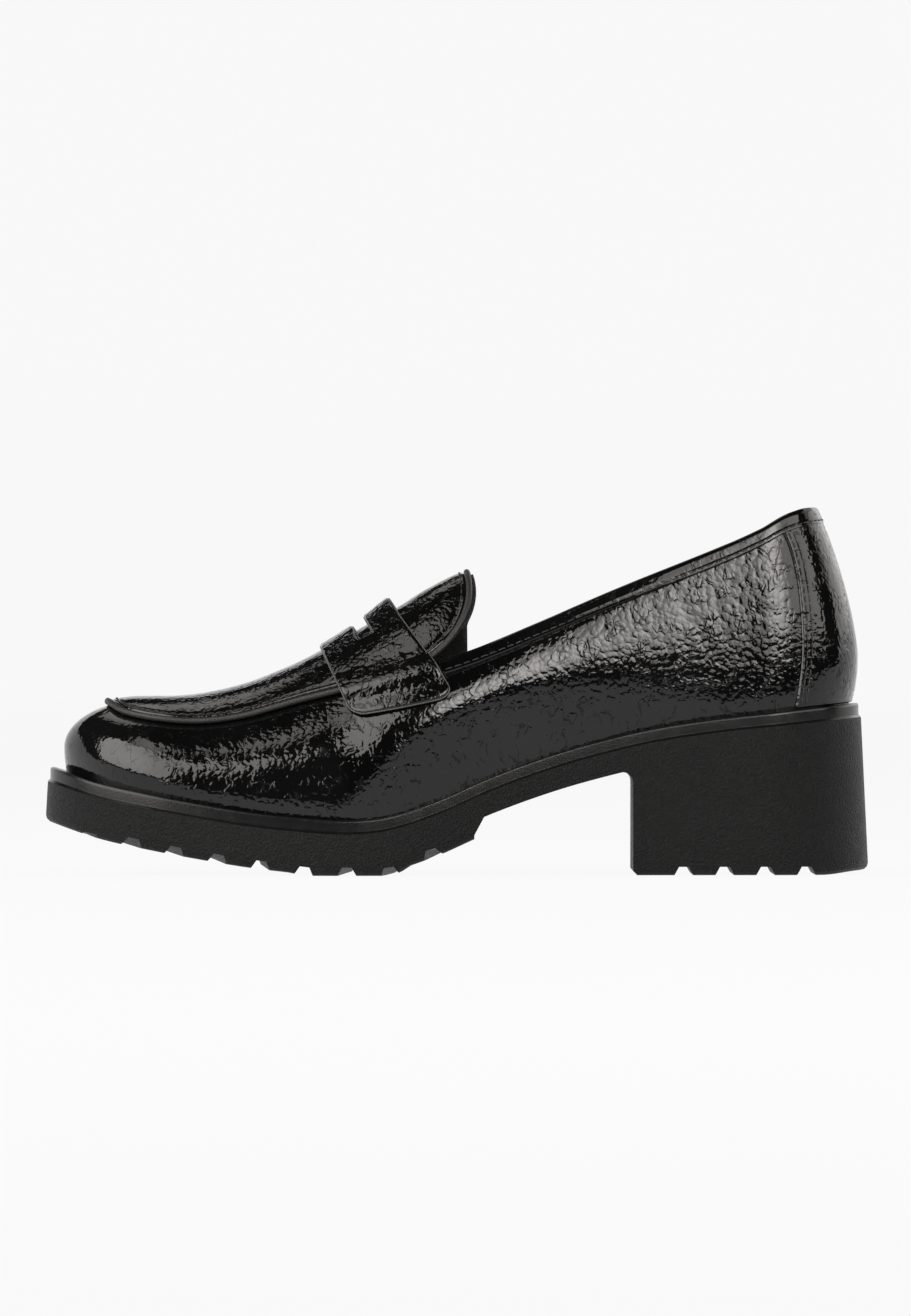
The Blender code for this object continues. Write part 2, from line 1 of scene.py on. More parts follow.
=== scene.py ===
"""Looks of the left shoe: crinkled patent leather on a matt lug sole with a block heel.

Metres, in the frame of the solids: +Z up, the toe towards -X and the lateral side towards -Y.
A station is a share of the rim's length, 0 at the toe and 1 at the back of the heel. A loop
place u runs round the shoe: 0 at the toe, 1 or -1 at the back of the heel, positive on the
medial side. The surfaces are worked out here again from the same named sizes, more finely.
"""

import math

import bmesh
import bpy
import numpy as np
from mathutils import Matrix, Vector
from mathutils.bvhtree import BVHTree


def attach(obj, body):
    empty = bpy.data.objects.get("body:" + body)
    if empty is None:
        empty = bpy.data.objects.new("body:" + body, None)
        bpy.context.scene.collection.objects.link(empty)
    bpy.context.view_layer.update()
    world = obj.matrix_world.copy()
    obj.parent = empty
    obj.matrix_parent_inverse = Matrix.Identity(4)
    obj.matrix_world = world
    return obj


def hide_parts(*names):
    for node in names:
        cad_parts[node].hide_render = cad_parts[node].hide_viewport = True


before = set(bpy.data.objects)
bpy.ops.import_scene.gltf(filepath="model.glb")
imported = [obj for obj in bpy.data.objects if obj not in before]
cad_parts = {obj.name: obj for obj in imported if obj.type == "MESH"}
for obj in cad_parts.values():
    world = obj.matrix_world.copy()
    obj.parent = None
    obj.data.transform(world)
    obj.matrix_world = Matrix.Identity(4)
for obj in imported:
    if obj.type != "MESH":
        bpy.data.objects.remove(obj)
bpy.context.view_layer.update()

# Clearance between pieces that touch on the real shoe.
GAP = 0.0003

# Step from which the direction of a curve or a surface is taken.
STEP = 0.004
HALVINGS = 34
MILLIMETRE = 0.001

# Sole
RIM_LENGTH = 0.2506
HEEL_REACH = 0.0358
BALL_WIDTH = 0.0920
TOE_SWING = 0.0040
TOE_ROUND = 0.0370
HEEL_ROUND = 0.0300
END_POWER = 2.15
PLATFORM = 0.0173
BALL_STATION = 0.37
FLAT_IN_FRONT = 0.0004
FLAT_BEHIND = 0.0011
HEEL_SEAT = 0.0532
TOE_SPRING = 0.0160
WAIST_THICKNESS = 0.0114
RIM_HEIGHT = 0.0036
BEAD_HEIGHT = 0.0009
BEAD_BACK = 0.0006
STEP_HEIGHT = 0.0009
STEP_OUT = 0.0008
WALL_FLARE = math.tan(math.radians(2.6))
EDGE_ROUND = 0.0022
HEEL_BEVEL = 0.0012
BREAST = 0.0345
BREAST_ROUND = 0.0032
BREAST_CHAMFER = 0.0013
TREAD_END = 0.5367
TREAD_STEP = 0.0030

# Tread grooves. The places and the pitch of the ones in front are stations.
HEEL_GROOVES = 4
HEEL_PITCH = 0.0126
FORE_GROOVES = 9
FORE_PITCH = 0.0531
REAR_FORE_GROOVE = 0.4750
GROOVE_DEPTH = 0.0026
GROOVE_MOUTH = 0.0058
GROOVE_FLOOR = 0.0030
GROOVE_FAN = math.radians(2.5)

# Upper
WALL = 0.0020
BACK_HEIGHT = 0.0595
HEEL_STRAIGHTNESS = 0.72
LEDGE = 0.0030
TOE_LEDGE = 0.0050
INSTEP = 0.0218
LID_POWER = 2.2
THROAT = 0.455
TOE_NORMAL = (-0.30, 0.0, 0.95)

# Apron with its tongue, and the piping round both
APRON_THICKNESS = 0.0016
TONGUE_SIDE = 0.456
TONGUE_BACK = 0.5235
TONGUE_SQUARE = 4.5
TONGUE_CORNER = 2.2
TONGUE_EARS = 0.012
PIPING_RADIUS = 0.0010

# Saddle strap
STRAP_THICKNESS = 0.0015
STRAP_FRONT = 0.3424
STRAP_REAR = 0.441
STRAP_FRONT_SLANT = 0.47
STRAP_REAR_SLANT = 0.70
STRAP_DROP = 0.0116
STRAP_REAR_DROP = 0.0138
STRAP_CORNER = 0.0038
SLOT_FRONT = 0.49
SLOT_REAR = 0.66
BRIDGE_REACH = 0.62
BRIDGE_RISE = 0.0025
LIP_RISE = 0.0012

# Collar band and back stay
TRIM_THICKNESS = 0.0009
BAND_HEIGHT = 0.0060
BAND_START = 1.04
STAY_FOOT = 0.0176
STAY_TOP = 0.0122

# Insole
INSOLE_THICKNESS = 0.0025
INSOLE_CLEARANCE = 0.0004

SEAT_COLUMNS = ("station", "toe_spring", "heel_rise")
SEAT = (
    (0.00, 1.000, 0.000),
    (0.06, 0.700, 0.000),
    (0.12, 0.500, 0.000),
    (0.19, 0.300, 0.000),
    (0.25, 0.150, 0.000),
    (0.31, 0.050, 0.000),
    (0.37, 0.000, 0.000),
    (0.42, 0.000, 0.035),
    (0.48, 0.000, 0.170),
    (0.54, 0.000, 0.355),
    (0.60, 0.000, 0.512),
    (0.66, 0.000, 0.642),
    (0.74, 0.000, 0.778),
    (0.82, 0.000, 0.865),
    (0.91, 0.000, 0.932),
    (1.00, 0.000, 1.000),
)

PLAN_COLUMNS = ("station", "lateral", "medial")
PLAN = (
    (0.00, 0.325, 0.375),
    (0.06, 0.365, 0.400),
    (0.14, 0.425, 0.435),
    (0.22, 0.470, 0.460),
    (0.29, 0.497, 0.465),
    (0.37, 0.510, 0.445),
    (0.45, 0.490, 0.395),
    (0.54, 0.440, 0.345),
    (0.63, 0.395, 0.320),
    (0.73, 0.368, 0.320),
    (0.84, 0.352, 0.332),
    (1.00, 0.340, 0.340),
)

WALL_COLUMNS = ("station", "height", "lateral_lean", "medial_lean", "bulge", "hip", "bend")
WALL_SECTIONS = (
    (0.00, 0.352, 0.157, 0.157, 0.008, 0.36, 66.0),
    (0.02, 0.366, 0.140, 0.140, 0.008, 0.34, 66.0),
    (0.05, 0.360, 0.130, 0.130, 0.008, 0.30, 66.0),
    (0.11, 0.371, 0.140, 0.140, 0.007, 0.22, 64.0),
    (0.17, 0.405, 0.160, 0.158, 0.006, 0.15, 62.0),
    (0.22, 0.465, 0.176, 0.172, 0.005, 0.11, 60.0),
    (0.27, 0.546, 0.188, 0.182, 0.004, 0.09, 57.0),
    (0.32, 0.621, 0.186, 0.178, 0.004, 0.08, 53.0),
    (0.37, 0.678, 0.172, 0.162, 0.004, 0.10, 50.0),
    (0.42, 0.715, 0.148, 0.132, 0.006, 0.38, 50.0),
    (0.48, 0.713, 0.114, 0.092, 0.009, 0.55, 50.0),
    (0.54, 0.692, 0.086, 0.054, 0.011, 0.56, 48.0),
    (0.61, 0.708, 0.066, 0.028, 0.011, 0.49, 42.0),
    (0.68, 0.750, 0.056, 0.018, 0.010, 0.34, 37.0),
    (0.76, 0.811, 0.058, 0.026, 0.008, 0.18, 34.0),
    (0.84, 0.899, 0.070, 0.050, 0.006, 0.07, 34.0),
    (0.91, 0.999, 0.090, 0.084, 0.007, 0.08, 34.0),
    (0.96, 1.025, 0.108, 0.106, 0.013, 0.16, 36.0),
    (1.00, 1.023, 0.120, 0.120, 0.020, 0.24, 36.0),
)

RIDGE_COLUMNS = ("station", "crown")
RIDGE = (
    (0.076, 0.000),
    (0.082, 0.034),
    (0.090, 0.114),
    (0.105, 0.189),
    (0.130, 0.248),
    (0.170, 0.303),
    (0.220, 0.351),
    (0.270, 0.388),
    (0.310, 0.448),
    (0.350, 0.566),
    (0.390, 0.695),
    (0.430, 0.821),
    (0.470, 0.963),
    (0.510, 1.039),
    (0.560, 0.987),
)

# What only the finished shoe has
SLOT_REACH = 0.4375
LEATHER = 0.0010
LINING_CLEARANCE = 0.00005
COLLAR_ROLL = 0.0010
COLLAR_TURN = 0.0010
STITCH_LENGTH = 0.0022
STITCH_GAP = 0.0007
STITCH_SHARES = (0.0, 0.12, 0.35, 0.65, 0.88, 1.0)
THREAD = 0.00026
CHANNEL_DEPTH = 0.00022
STAY_CHANNEL_DEPTH = 0.00020
CHANNEL_WIDTH = 0.0004
APRON_ROUND = 0.0011
STRAP_ROUND = 0.0009
STAY_ROUND = 0.0007
SOCK_ROUND = 0.0015
SOCK_DISH = 0.0004
STAY_THINNER = 0.0002
COLLAR_INSIDE = 0.0006
COLLAR_HEM = 0.0052
PEBBLE_DEPTH = 0.00006
SMALL_DEPTH = 0.000014
FURROW_DEPTH = 0.000030
PEEL_DEPTH = 0.000007
CRACK_SHARE = 0.65
FOLD_DEPTH = 0.00005
WAVE_DEPTH = 0.00018
APRON_STITCH = 0.0019
COLLAR_STITCH = 0.0052
STAY_STITCHES = (0.0015, 0.0031)
STAY_TUCK = 0.0010
TONGUE_PIPING_OUT = 0.0004
TONGUE_LINING_START = 0.40
TONGUE_LINING_REACH = 0.0045
TONGUE_LINING_WIDTH = 0.995
TONGUE_LINING_THICKNESS = 0.0012
TONGUE_LINING_ROUND = 0.0006
TONGUE_LINING_RAISE = 0.0002
MEDIAL_LINING_END = 0.523
MEDIAL_HEM = (0.0012, 0.0025, 0.0040)
EDGE_LINE = 0.00028
MEDIAL_SHIFT = -7.0

# Patent leather: cells and noises per metre, and how far they push places about.
WIDE_SCALE = 60
WIDE_PUSH = 0.006
NEAR_SCALE = 420
NEAR_PUSH = 0.0006
PEBBLE_SCALE = 560
SMALL_SCALE = 1150
PEEL_SCALE = 1500
CRACK_SCALE = 330
CRACK_PUSH = 0.0024
CRACK_STRETCH = (1.0, 1.0, 0.5)
BROKEN_SCALE = 230
FOLD_SCALES = (230, 230, 150)
WAVE_SCALE = 30
DUST_SCALE = 30
# The relief calms down towards the toe, between these places along the shoe.
TOE_CALM = 0.45
CALM_FROM = -0.205
CALM_TO = -0.160
GLOSS_TONES = (0.0016, 0.003)
RUBBER_TONES = (0.0032, 0.0045)

# Creases of the leather in the side view, in millimetres, the same on both sides.
CREASE_COLUMNS = ("x0", "z0", "x1", "z1", "width", "trough")
CREASES = (
    (-183.0, 43.0, -177.0, 36.0, 1.5, 0.035),
    (-174.0, 44.0, -166.0, 35.0, 1.7, 0.045),
    (-168.0, 46.0, -161.0, 37.0, 1.5, 0.040),
    (-159.0, 45.0, -150.0, 33.0, 1.9, 0.055),
    (-149.0, 47.0, -143.0, 40.0, 1.6, 0.040),
    (-30.0, 87.0, -24.0, 70.0, 1.5, 0.050),
    (-23.0, 90.0, -9.0, 66.0, 1.6, 0.060),
    (-10.0, 88.0, -5.0, 72.0, 1.5, 0.045),
    (-45.0, 79.0, -40.0, 68.0, 1.4, 0.045),
    (-2.0, 83.0, 14.0, 79.0, 1.8, 0.045),
)

LEATHER_COLUMNS = ("name", "tone", "roughness", "scale", "depth", "warm")
LEATHERS = (
    ("piping_leather_matt", 0.007, 0.5, 1400, 0.00006, 0.12),
    ("lining_leather", 0.006, 0.6, 900, 0.00010, 0.0),
    ("black_thread", 0.006, 0.45, 2600, 0.00005, 0.0),
    ("edge_paint", 0.05, 0.4, 1800, 0.00002, 0.0),
)

RUBBER_COLUMNS = ("name", "roughness", "specular", "grain")
RUBBERS = (
    ("sole_rubber_pebbled", 0.46, 0.15, 0.0009),
    ("sole_rubber_rim", 0.24, 0.30, 0.00004),
)

# Studio: sizes, brightness, and the lights with azimuth and elevation in degrees.
SHOE_MIDDLE = Vector((-0.0891, 0.0, 0.0668))
CAMERA_DISTANCE = 4.0
FRAME_HEIGHT = 0.408
PAPER_TONE = 0.02
PAPER_GLOW = 0.93
ROOM_TONE = 0.012
CLIP_END = 50
SWEEP_RADIUS = 20.0
SWEEP_FRONT = 1.3
SWEEP_BACK = 9.0
SWEEP_CORNER = 0.6
SWEEP_INNER = 0.8
SWEEP_SIDES = 96
LIGHT_TINT = (1.0, 0.965, 0.935)
LIGHT_COLUMNS = ("name", "azimuth", "elevation", "distance", "width", "height",
                 "hot_azimuth", "hot_elevation", "hot_reach", "middle", "edge")
LIGHTS = (
    ("toe_softbox", -63.0, 30.0, 2.2, 2.6, 1.95, -66.0, 24.0, 1.3, 5.4, 4.2),
    ("quarter_softbox", 42.0, 30.3, 2.2, 3.3, 1.24, 18.0, 25.0, 0.80, 13.0, 3.2),
    ("instep_softbox", -69.0, 61.5, 2.2, 1.20, 0.50, -60.0, 61.5, 0.8, 2.5, 1.8),
    ("heel_softbox", 132.0, 27.0, 2.4, 2.4, 1.7, 132.0, 27.0, 1.2, 1.1, 0.8),
    ("rear_softbox", -162.0, 48.0, 2.4, 0.95, 0.6, -162.0, 48.0, 0.6, 1.3, 0.8),
)


# Curves and surfaces, on whole arrays of places at a time


def read(table, columns, name, place):
    """The named column of a table at many places, on a smooth curve through its rows."""
    x = np.array([row[0] for row in table])
    y = np.array([row[columns.index(name)] for row in table])
    slope = np.gradient(y)
    slope[1:-1] = (y[2:] - y[:-2]) / (x[2:] - x[:-2])
    slope[0] = (y[1] - y[0]) / (x[1] - x[0])
    slope[-1] = (y[-1] - y[-2]) / (x[-1] - x[-2])
    place = np.clip(place, x[0], x[-1])
    i = np.clip(np.searchsorted(x, place, "right") - 1, 0, len(x) - 2)
    run = x[i + 1] - x[i]
    f = (place - x[i]) / run
    return (
        y[i] * (1 + 2 * f) * (1 - f) ** 2
        + slope[i] * run * f * (1 - f) ** 2
        + y[i + 1] * f * f * (3 - 2 * f)
        + slope[i + 1] * run * f * f * (f - 1)
    )


def mix(a, b, share):
    return a + (b - a) * share


def ease(low, high, value):
    """0 below low, 1 above high, and a smooth step between them."""
    share = np.clip((value - low) / (high - low), 0.0, 1.0)
    return share * share * (3 - 2 * share)


def solve(function, low, high):
    """The places between low and high where a rising function crosses zero."""
    for _ in range(HALVINGS):
        middle = (low + high) / 2
        short = function(middle) < 0
        low, high = np.where(short, middle, low), np.where(short, high, middle)
    return (low + high) / 2


def unit(vectors):
    return vectors / np.maximum(np.linalg.norm(vectors, axis=-1, keepdims=True), 1e-12)


def length(vectors):
    return np.linalg.norm(vectors, axis=-1)


def spaced(low, high, count, crowding=0.0):
    """Places from low to high, crowded towards both by the given share."""
    even = np.linspace(0, 1, count)
    crowded = (1 - np.cos(math.pi * even)) / 2
    return mix(low, high, mix(even, crowded, crowding))


def station_of_loop(u):
    return (1 - np.cos(math.pi * np.abs(u))) / 2


def loop_of_station(station):
    return np.arccos(1 - 2 * np.clip(station, 0.0, 1.0)) / math.pi


def x_of_station(station):
    return HEEL_REACH - RIM_LENGTH * (1 - station)


def station_of_x(x):
    return 1 - (HEEL_REACH - x) / RIM_LENGTH


def rounded_end(distance, reach):
    """Share of the full width that is left at a distance from a rounded end."""
    share = np.clip(distance / reach, 0, 1)
    return (1 - (1 - share) ** END_POWER) ** (1 / END_POWER)


def rim(u):
    """The rim's outline in plan."""
    u = (u + 1) % 2 - 1
    station = station_of_loop(u)
    medial = read(PLAN, PLAN_COLUMNS, "medial", station)
    half = BALL_WIDTH * np.where(u > 0, medial, read(PLAN, PLAN_COLUMNS, "lateral", station))
    half = half * rounded_end(station * RIM_LENGTH, TOE_ROUND)
    half = half * rounded_end((1 - station) * RIM_LENGTH, HEEL_ROUND)
    swing = TOE_SWING * np.maximum(0.0, 1 - station / 0.4) ** 2
    return np.stack([x_of_station(station), swing + np.copysign(half, u)], -1)


def inset(u, distance):
    """The rim's outline, moved inwards in plan."""
    along = unit(rim(u + STEP) - rim(u - STEP))
    inwards = np.stack([along[..., 1], -along[..., 0]], -1)
    return rim(u) + np.asarray(distance)[..., None] * inwards


def seat(station):
    """Height of the rim's top, on which the upper stands."""
    spring = TOE_SPRING * read(SEAT, SEAT_COLUMNS, "toe_spring", station)
    rise = (HEEL_SEAT - PLATFORM) * read(SEAT, SEAT_COLUMNS, "heel_rise", station)
    return PLATFORM - GAP + spring + rise


def ground(station):
    """Underside of the sole before the arch is cut out of it."""
    rocker = np.maximum(0.0, seat(station) + GAP - PLATFORM)
    flat = np.where(station < BALL_STATION, FLAT_IN_FRONT, FLAT_BEHIND)
    rocker = rocker * ease(flat, 3 * flat, rocker)
    into_heel = ease(TREAD_END, station_of_x(-BREAST), station)
    return mix(rocker, 0.0, into_heel) + HEEL_BEVEL * ease(0.95, 1.0, station)


def ledge(station):
    return mix(TOE_LEDGE, LEDGE, ease(0.0, 0.12, station))


def wall_point(u, v):
    """A point of the wall, from the rim at v = 0 to the apron seam or the collar at v = 1."""
    u, v = np.broadcast_arrays((np.asarray(u) + 1) % 2 - 1, v)
    station = station_of_loop(u)
    height, lateral, medial, bulge, hip, bend = (
        read(WALL_SECTIONS, WALL_COLUMNS, name, station) for name in WALL_COLUMNS[1:]
    )
    lean = BALL_WIDTH * np.where(u > 0, medial, lateral)
    bulge = bulge * BALL_WIDTH
    bend = np.radians(bend)
    below = np.clip((hip - v) / hip, 0, None)
    turn = bend * np.clip((v - hip) / (1 - hip), 0, None)
    turned = (1 - np.cos(turn)) / (1 - np.cos(bend))
    turned = turned ** mix(1, HEEL_STRAIGHTNESS, ease(0.66, 0.86, station))
    inwards = (lean + bulge) * turned + bulge * below**2 - bulge
    upwards = np.where(v < hip, v, hip + (1 - hip) * np.sin(turn) / np.sin(bend))
    place = inset(u, ledge(station) + inwards)
    foot = seat(station_of_x(inset(u, ledge(station))[..., 0])) + GAP
    return np.concatenate([place, (foot + BACK_HEIGHT * height * upwards)[..., None]], -1)


def lid_point(t, w):
    """A point over the instep, from the lateral seam at w = -1 to the medial seam at w = 1."""
    t, w = np.broadcast_arrays(t, w)
    place = mix(wall_point(-t, 1.0), wall_point(t, 1.0), ((1 + w) / 2)[..., None])
    crown = read(RIDGE, RIDGE_COLUMNS, "crown", station_of_x(place[..., 0]))
    place[..., 2] += INSTEP * crown * (1 - np.minimum(np.abs(w), 1) ** LID_POWER)
    return place


def skin(t, q):
    """Lid where q is between -1 and 1, then down the lateral wall to -2 or the medial to 2."""
    t, q = np.broadcast_arrays(t, q)
    lid = lid_point(t, np.clip(q, -1, 1))
    wall = wall_point(np.copysign(t, q), np.clip(2 - np.abs(q), None, 1))
    return np.where((np.abs(q) <= 1)[..., None], lid, wall)


def wall_normal(u, v):
    along = wall_point(u + STEP, v) - wall_point(u - STEP, v)
    up = wall_point(u, np.minimum(v + STEP, 1)) - wall_point(u, np.maximum(v - STEP, 0))
    return unit(np.cross(up, along))


def skin_normal(t, q):
    """Outward direction of the skin. The lid's share of it is made to agree at the toe's tip."""
    t, q = np.broadcast_arrays(t, q)
    inner = np.maximum(t, 5 * STEP)
    along = skin(inner + STEP, q) - skin(inner - STEP, q)
    across = skin(inner, q + STEP) - skin(inner, q - STEP)
    lid = unit(np.cross(along, across))
    lid = unit(mix(np.array(TOE_NORMAL), lid, ease(0, 0.17, t)[..., None]))
    wall = wall_normal(np.copysign(t, q), np.clip(2 - np.abs(q), 0, 1))
    return np.where((np.abs(q) <= 1)[..., None], lid, wall)


def wall_height(u):
    """Length of the straight line from the rim to the seam or the collar."""
    return length(wall_point(u, 1.0) - wall_point(u, 0.0))


# Building


def grid_faces(rows, columns, wrap=False):
    row = np.arange(rows - 1)[:, None]
    column = np.arange(columns if wrap else columns - 1)[None, :]
    after = (column + 1) % columns
    low, high = row * columns, (row + 1) * columns
    return np.stack([low + column, low + after, high + after, high + column], -1).reshape(-1, 4)


def sides_of(faces):
    """Every side of every face, as (from, to), and which of them lie on the sheet's edge."""
    sides = np.concatenate([faces[:, [k, (k + 1) % 4]] for k in range(4)])
    sides = sides[sides[:, 0] != sides[:, 1]]
    count = faces.max() + 1
    there, back = sides @ [count, 1], sides @ [1, count]
    return sides, ~np.isin(there, back)


def edge_distance(points, faces):
    """How far each point of a sheet is from the sheet's edge."""
    sides, on_edge = sides_of(faces)
    start, end = points[sides[on_edge, 0]], points[sides[on_edge, 1]]
    run = end - start
    square = np.maximum((run * run).sum(-1), 1e-14)
    nearest = np.empty(len(points))
    for first in range(0, len(points), 1500):
        some = points[first : first + 1500, None] - start[None]
        share = np.clip((some * run).sum(-1) / square, 0, 1)
        nearest[first : first + 1500] = length(some - share[..., None] * run).min(1)
    return nearest


def rounding(distance, radius):
    """Share of the full thickness at a distance from an edge rounded to that radius."""
    return np.sqrt(1 - (1 - np.clip(distance / radius, 0, 1)) ** 2)


def put(name, data):
    """A new object in the scene for a mesh, a lamp or a camera."""
    made = bpy.data.objects.new(name, data)
    bpy.context.scene.collection.objects.link(made)
    return made


def mesh_of(name, points, faces, join=0.0, degenerate=0.0):
    """A mesh with its faces turned outwards, and points joined that lie closer than join."""
    mesh = bpy.data.meshes.new(name)
    mesh.from_pydata(points, [], faces)
    shape = bmesh.new()
    shape.from_mesh(mesh)
    if join:
        bmesh.ops.remove_doubles(shape, verts=shape.verts, dist=join)
    if degenerate:
        bmesh.ops.dissolve_degenerate(shape, edges=shape.edges, dist=degenerate)
    bmesh.ops.recalc_face_normals(shape, faces=shape.faces)
    shape.to_mesh(mesh)
    shape.free()
    return mesh


def piece(name, points, faces, finish, slot, node=None, sharp=50):
    """A finished piece: closed, with its points joined, on the shoe's one body."""
    faces = [tuple(dict.fromkeys(f)) for f in faces]
    mesh = mesh_of(name, np.asarray(points).tolist(), faces, 0.000004, 0.000002)
    made = put(name, mesh)
    made.data.materials.append(finish)
    made.data.shade_smooth()
    made.data.set_sharp_from_angle(angle=math.radians(sharp))
    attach(made, "root")
    if node:
        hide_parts(node)
    return made


def shell(name, inside, outside, faces, *finish):
    """A piece between two sheets of points that share their faces."""
    count = len(outside)
    sides, on_edge = sides_of(faces)
    a, b = sides[on_edge].T
    borders = np.stack([b, a, a + count, b + count], -1)
    every = np.concatenate([faces, faces[:, ::-1] + count, borders])
    return piece(name, np.concatenate([outside, inside]), every.tolist(), *finish)


def tube(path, radius, closed=False, sides=10, up=None):
    """Points and faces of a round cord along a path, or of one that thins out where radius does."""
    path = np.asarray(path)
    if closed:
        along = unit(np.roll(path, -1, 0) - np.roll(path, 1, 0))
    else:
        along = unit(np.gradient(path, axis=0))
    up = np.array([0.0, 0.0, 1.0]) if up is None else up
    across = unit(np.cross(along, up))
    up = np.cross(across, along)
    turn = np.linspace(0, 2 * math.pi, sides, endpoint=False)
    radius = np.broadcast_to(radius, len(path))[:, None, None]
    ring = np.cos(turn)[None, :, None] * across[:, None] + np.sin(turn)[None, :, None] * up[:, None]
    points = (path[:, None] + radius * ring).reshape(-1, 3)
    faces = grid_faces(len(path), sides, wrap=True).tolist()
    last = (len(path) - 1) * sides
    if closed:
        around = range(sides)
        faces += [(last + k, last + (k + 1) % sides, (k + 1) % sides, k) for k in around]
    else:
        faces += [tuple(range(sides)), tuple(range(last, last + sides))]
    return points, faces


def stitches(name, paths, finish, depth=0.35):
    """Rows of stitches: short threads that dip into the leather at both ends."""
    points, faces = [], []
    for path, normals in paths:
        run = np.concatenate([[0], np.cumsum(length(np.diff(path, axis=0)))])
        pitch = STITCH_LENGTH + STITCH_GAP
        for k in range(int(run[-1] / pitch)):
            share = np.array(STITCH_SHARES)
            at = k * pitch + STITCH_GAP / 2 + share * STITCH_LENGTH
            place = np.stack([np.interp(at, run, path[:, axis]) for axis in range(3)], -1)
            up = unit(np.stack([np.interp(at, run, normals[:, axis]) for axis in range(3)], -1))
            swell = np.sqrt(np.sin(math.pi * mix(0.06, 0.94, share)))
            place = place + up * (THREAD * (swell - 1 + depth))[:, None]
            more, sides = tube(place, THREAD * mix(0.45, 1.0, swell), sides=6, up=up)
            faces += [tuple(len(points) + i for i in f) for f in sides]
            points.extend(more)
    return piece(name, np.array(points), faces, finish, "piping_leather", sharp=80)


# Finishes


class Shade:
    """A socket of a finish's nodes. Arithmetic on it adds Math nodes."""

    def __init__(self, finish, socket):
        self.finish = finish
        self.socket = socket

    def math(self, operation, *values):
        return self.finish.node("Math", {"operation": operation}, dict(enumerate(values)))

    def __add__(self, other):
        return self.math("ADD", self, other)

    __radd__ = __add__

    def __sub__(self, other):
        return self.math("SUBTRACT", self, other)

    def __rsub__(self, other):
        return self.math("SUBTRACT", other, self)

    def __mul__(self, other):
        return self.math("MULTIPLY", self, other)

    __rmul__ = __mul__


class Finish:
    """A material while its nodes are laid out. Every node comes from the one method."""

    def __init__(self, name, tree=None):
        if tree is None:
            self.material = bpy.data.materials.new(name)
            self.material.use_nodes = True
            tree = self.material.node_tree
        self.tree = tree
        self.tree.nodes.clear()
        self.place = self.node("TexCoord", output="Object")

    def node(self, kind, settings=None, values=None, output=0):
        made = self.tree.nodes.new("ShaderNode" + kind)
        for name, value in (settings or {}).items():
            setattr(made, name, value)
        for name, value in (values or {}).items():
            if isinstance(value, Shade):
                self.tree.links.new(value.socket, made.inputs[name])
            else:
                made.inputs[name].default_value = value
        return Shade(self, made.outputs[output]) if len(made.outputs) else None

    def vector(self, operation, values, output=0):
        return self.node("VectorMath", {"operation": operation}, values, output)

    def noise(self, place, scale, detail=2.0, output=0):
        values = {"Vector": place, "Scale": scale, "Detail": detail}
        return self.node("TexNoise", values=values, output=output)

    def pushed(self, place, scale, share):
        """Places pushed about by a noise's colour."""
        push = self.noise(self.place, scale, 2, output="Color")
        push = self.vector("SUBTRACT", {0: push, 1: (0.5, 0.5, 0.5)})
        return self.vector("ADD", {0: place, 1: self.vector("SCALE", {0: push, "Scale": share})})

    def cells(self, place, scale, feature="DISTANCE_TO_EDGE", **values):
        values = {"Vector": place, "Scale": scale, **values}
        return self.node("TexVoronoi", {"feature": feature}, values)

    def ease(self, low, high, value):
        values = {"Value": value, "From Min": low, "From Max": high}
        return self.node("MapRange", {"interpolation_type": "SMOOTHSTEP"}, values)

    def blend(self, share, a, b):
        """A colour between two. The Mix node's colour sockets are its inputs 6 and 7."""
        return self.node("Mix", {"data_type": "RGBA"}, {0: share, 6: a, 7: b}, 2)

    def raised(self, height, distance):
        """The normal over a relief whose height of 1 stands for the given distance."""
        return self.node("Bump", values={"Height": height, "Distance": distance, "Strength": 1.0})

    def done(self, values, bare=None, share=0.0):
        """Closes the finish with its surface shader, worn through to a bare one by a share."""
        surface = self.node("BsdfPrincipled", values=values)
        if bare:
            under = self.node("BsdfPrincipled", values=bare)
            surface = self.node("MixShader", values={0: share, 1: surface, 2: under})
        self.node("OutputMaterial", values={"Surface": surface})
        return self.material


def grey(value, warm=0.0):
    return (value * (1 + warm), value, value * (1 - warm), 1)


# Pieces of the upper


def laid_on(piece_below, path):
    """A path set down on a piece's surface, and the surface's outward directions under it."""
    tree = BVHTree.FromObject(piece_below, bpy.context.evaluated_depsgraph_get())
    hits = [tree.find_nearest(Vector(place)) for place in path]
    return np.array([hit[0] for hit in hits]), np.array([hit[1] for hit in hits])


def creased(points, normals):
    """Points of the wall with the main creases of the worn leather pressed in."""
    depth = np.zeros(points.shape[:-1])
    for medial in (False, True):
        near = (points[..., 1] > 0) == medial
        for row in CREASES:
            crease = dict(zip(CREASE_COLUMNS, row))
            start = np.array([crease["x0"] + MEDIAL_SHIFT * medial, crease["z0"]]) * MILLIMETRE
            run = np.array([crease["x1"] - crease["x0"], crease["z1"] - crease["z0"]]) * MILLIMETRE
            some = points[..., [0, 2]] - start
            share = np.clip((some @ run) / (run @ run), 0, 1)
            distance = length(some - share[..., None] * run) / (crease["width"] * MILLIMETRE)
            fold = np.exp(-(distance**2)) - 0.45 * np.exp(-((distance - 1.8) ** 2))
            fade = np.sin(math.pi * mix(0.15, 0.85, share))
            depth += near * crease["trough"] * MILLIMETRE * fold * fade
    return points - normals * depth[..., None]


def channel(distance, row, depth=CHANNEL_DEPTH):
    """Depth of the channel that a row of stitches pulls into the leather."""
    return depth * np.exp(-(((distance - row) / CHANNEL_WIDTH) ** 2))


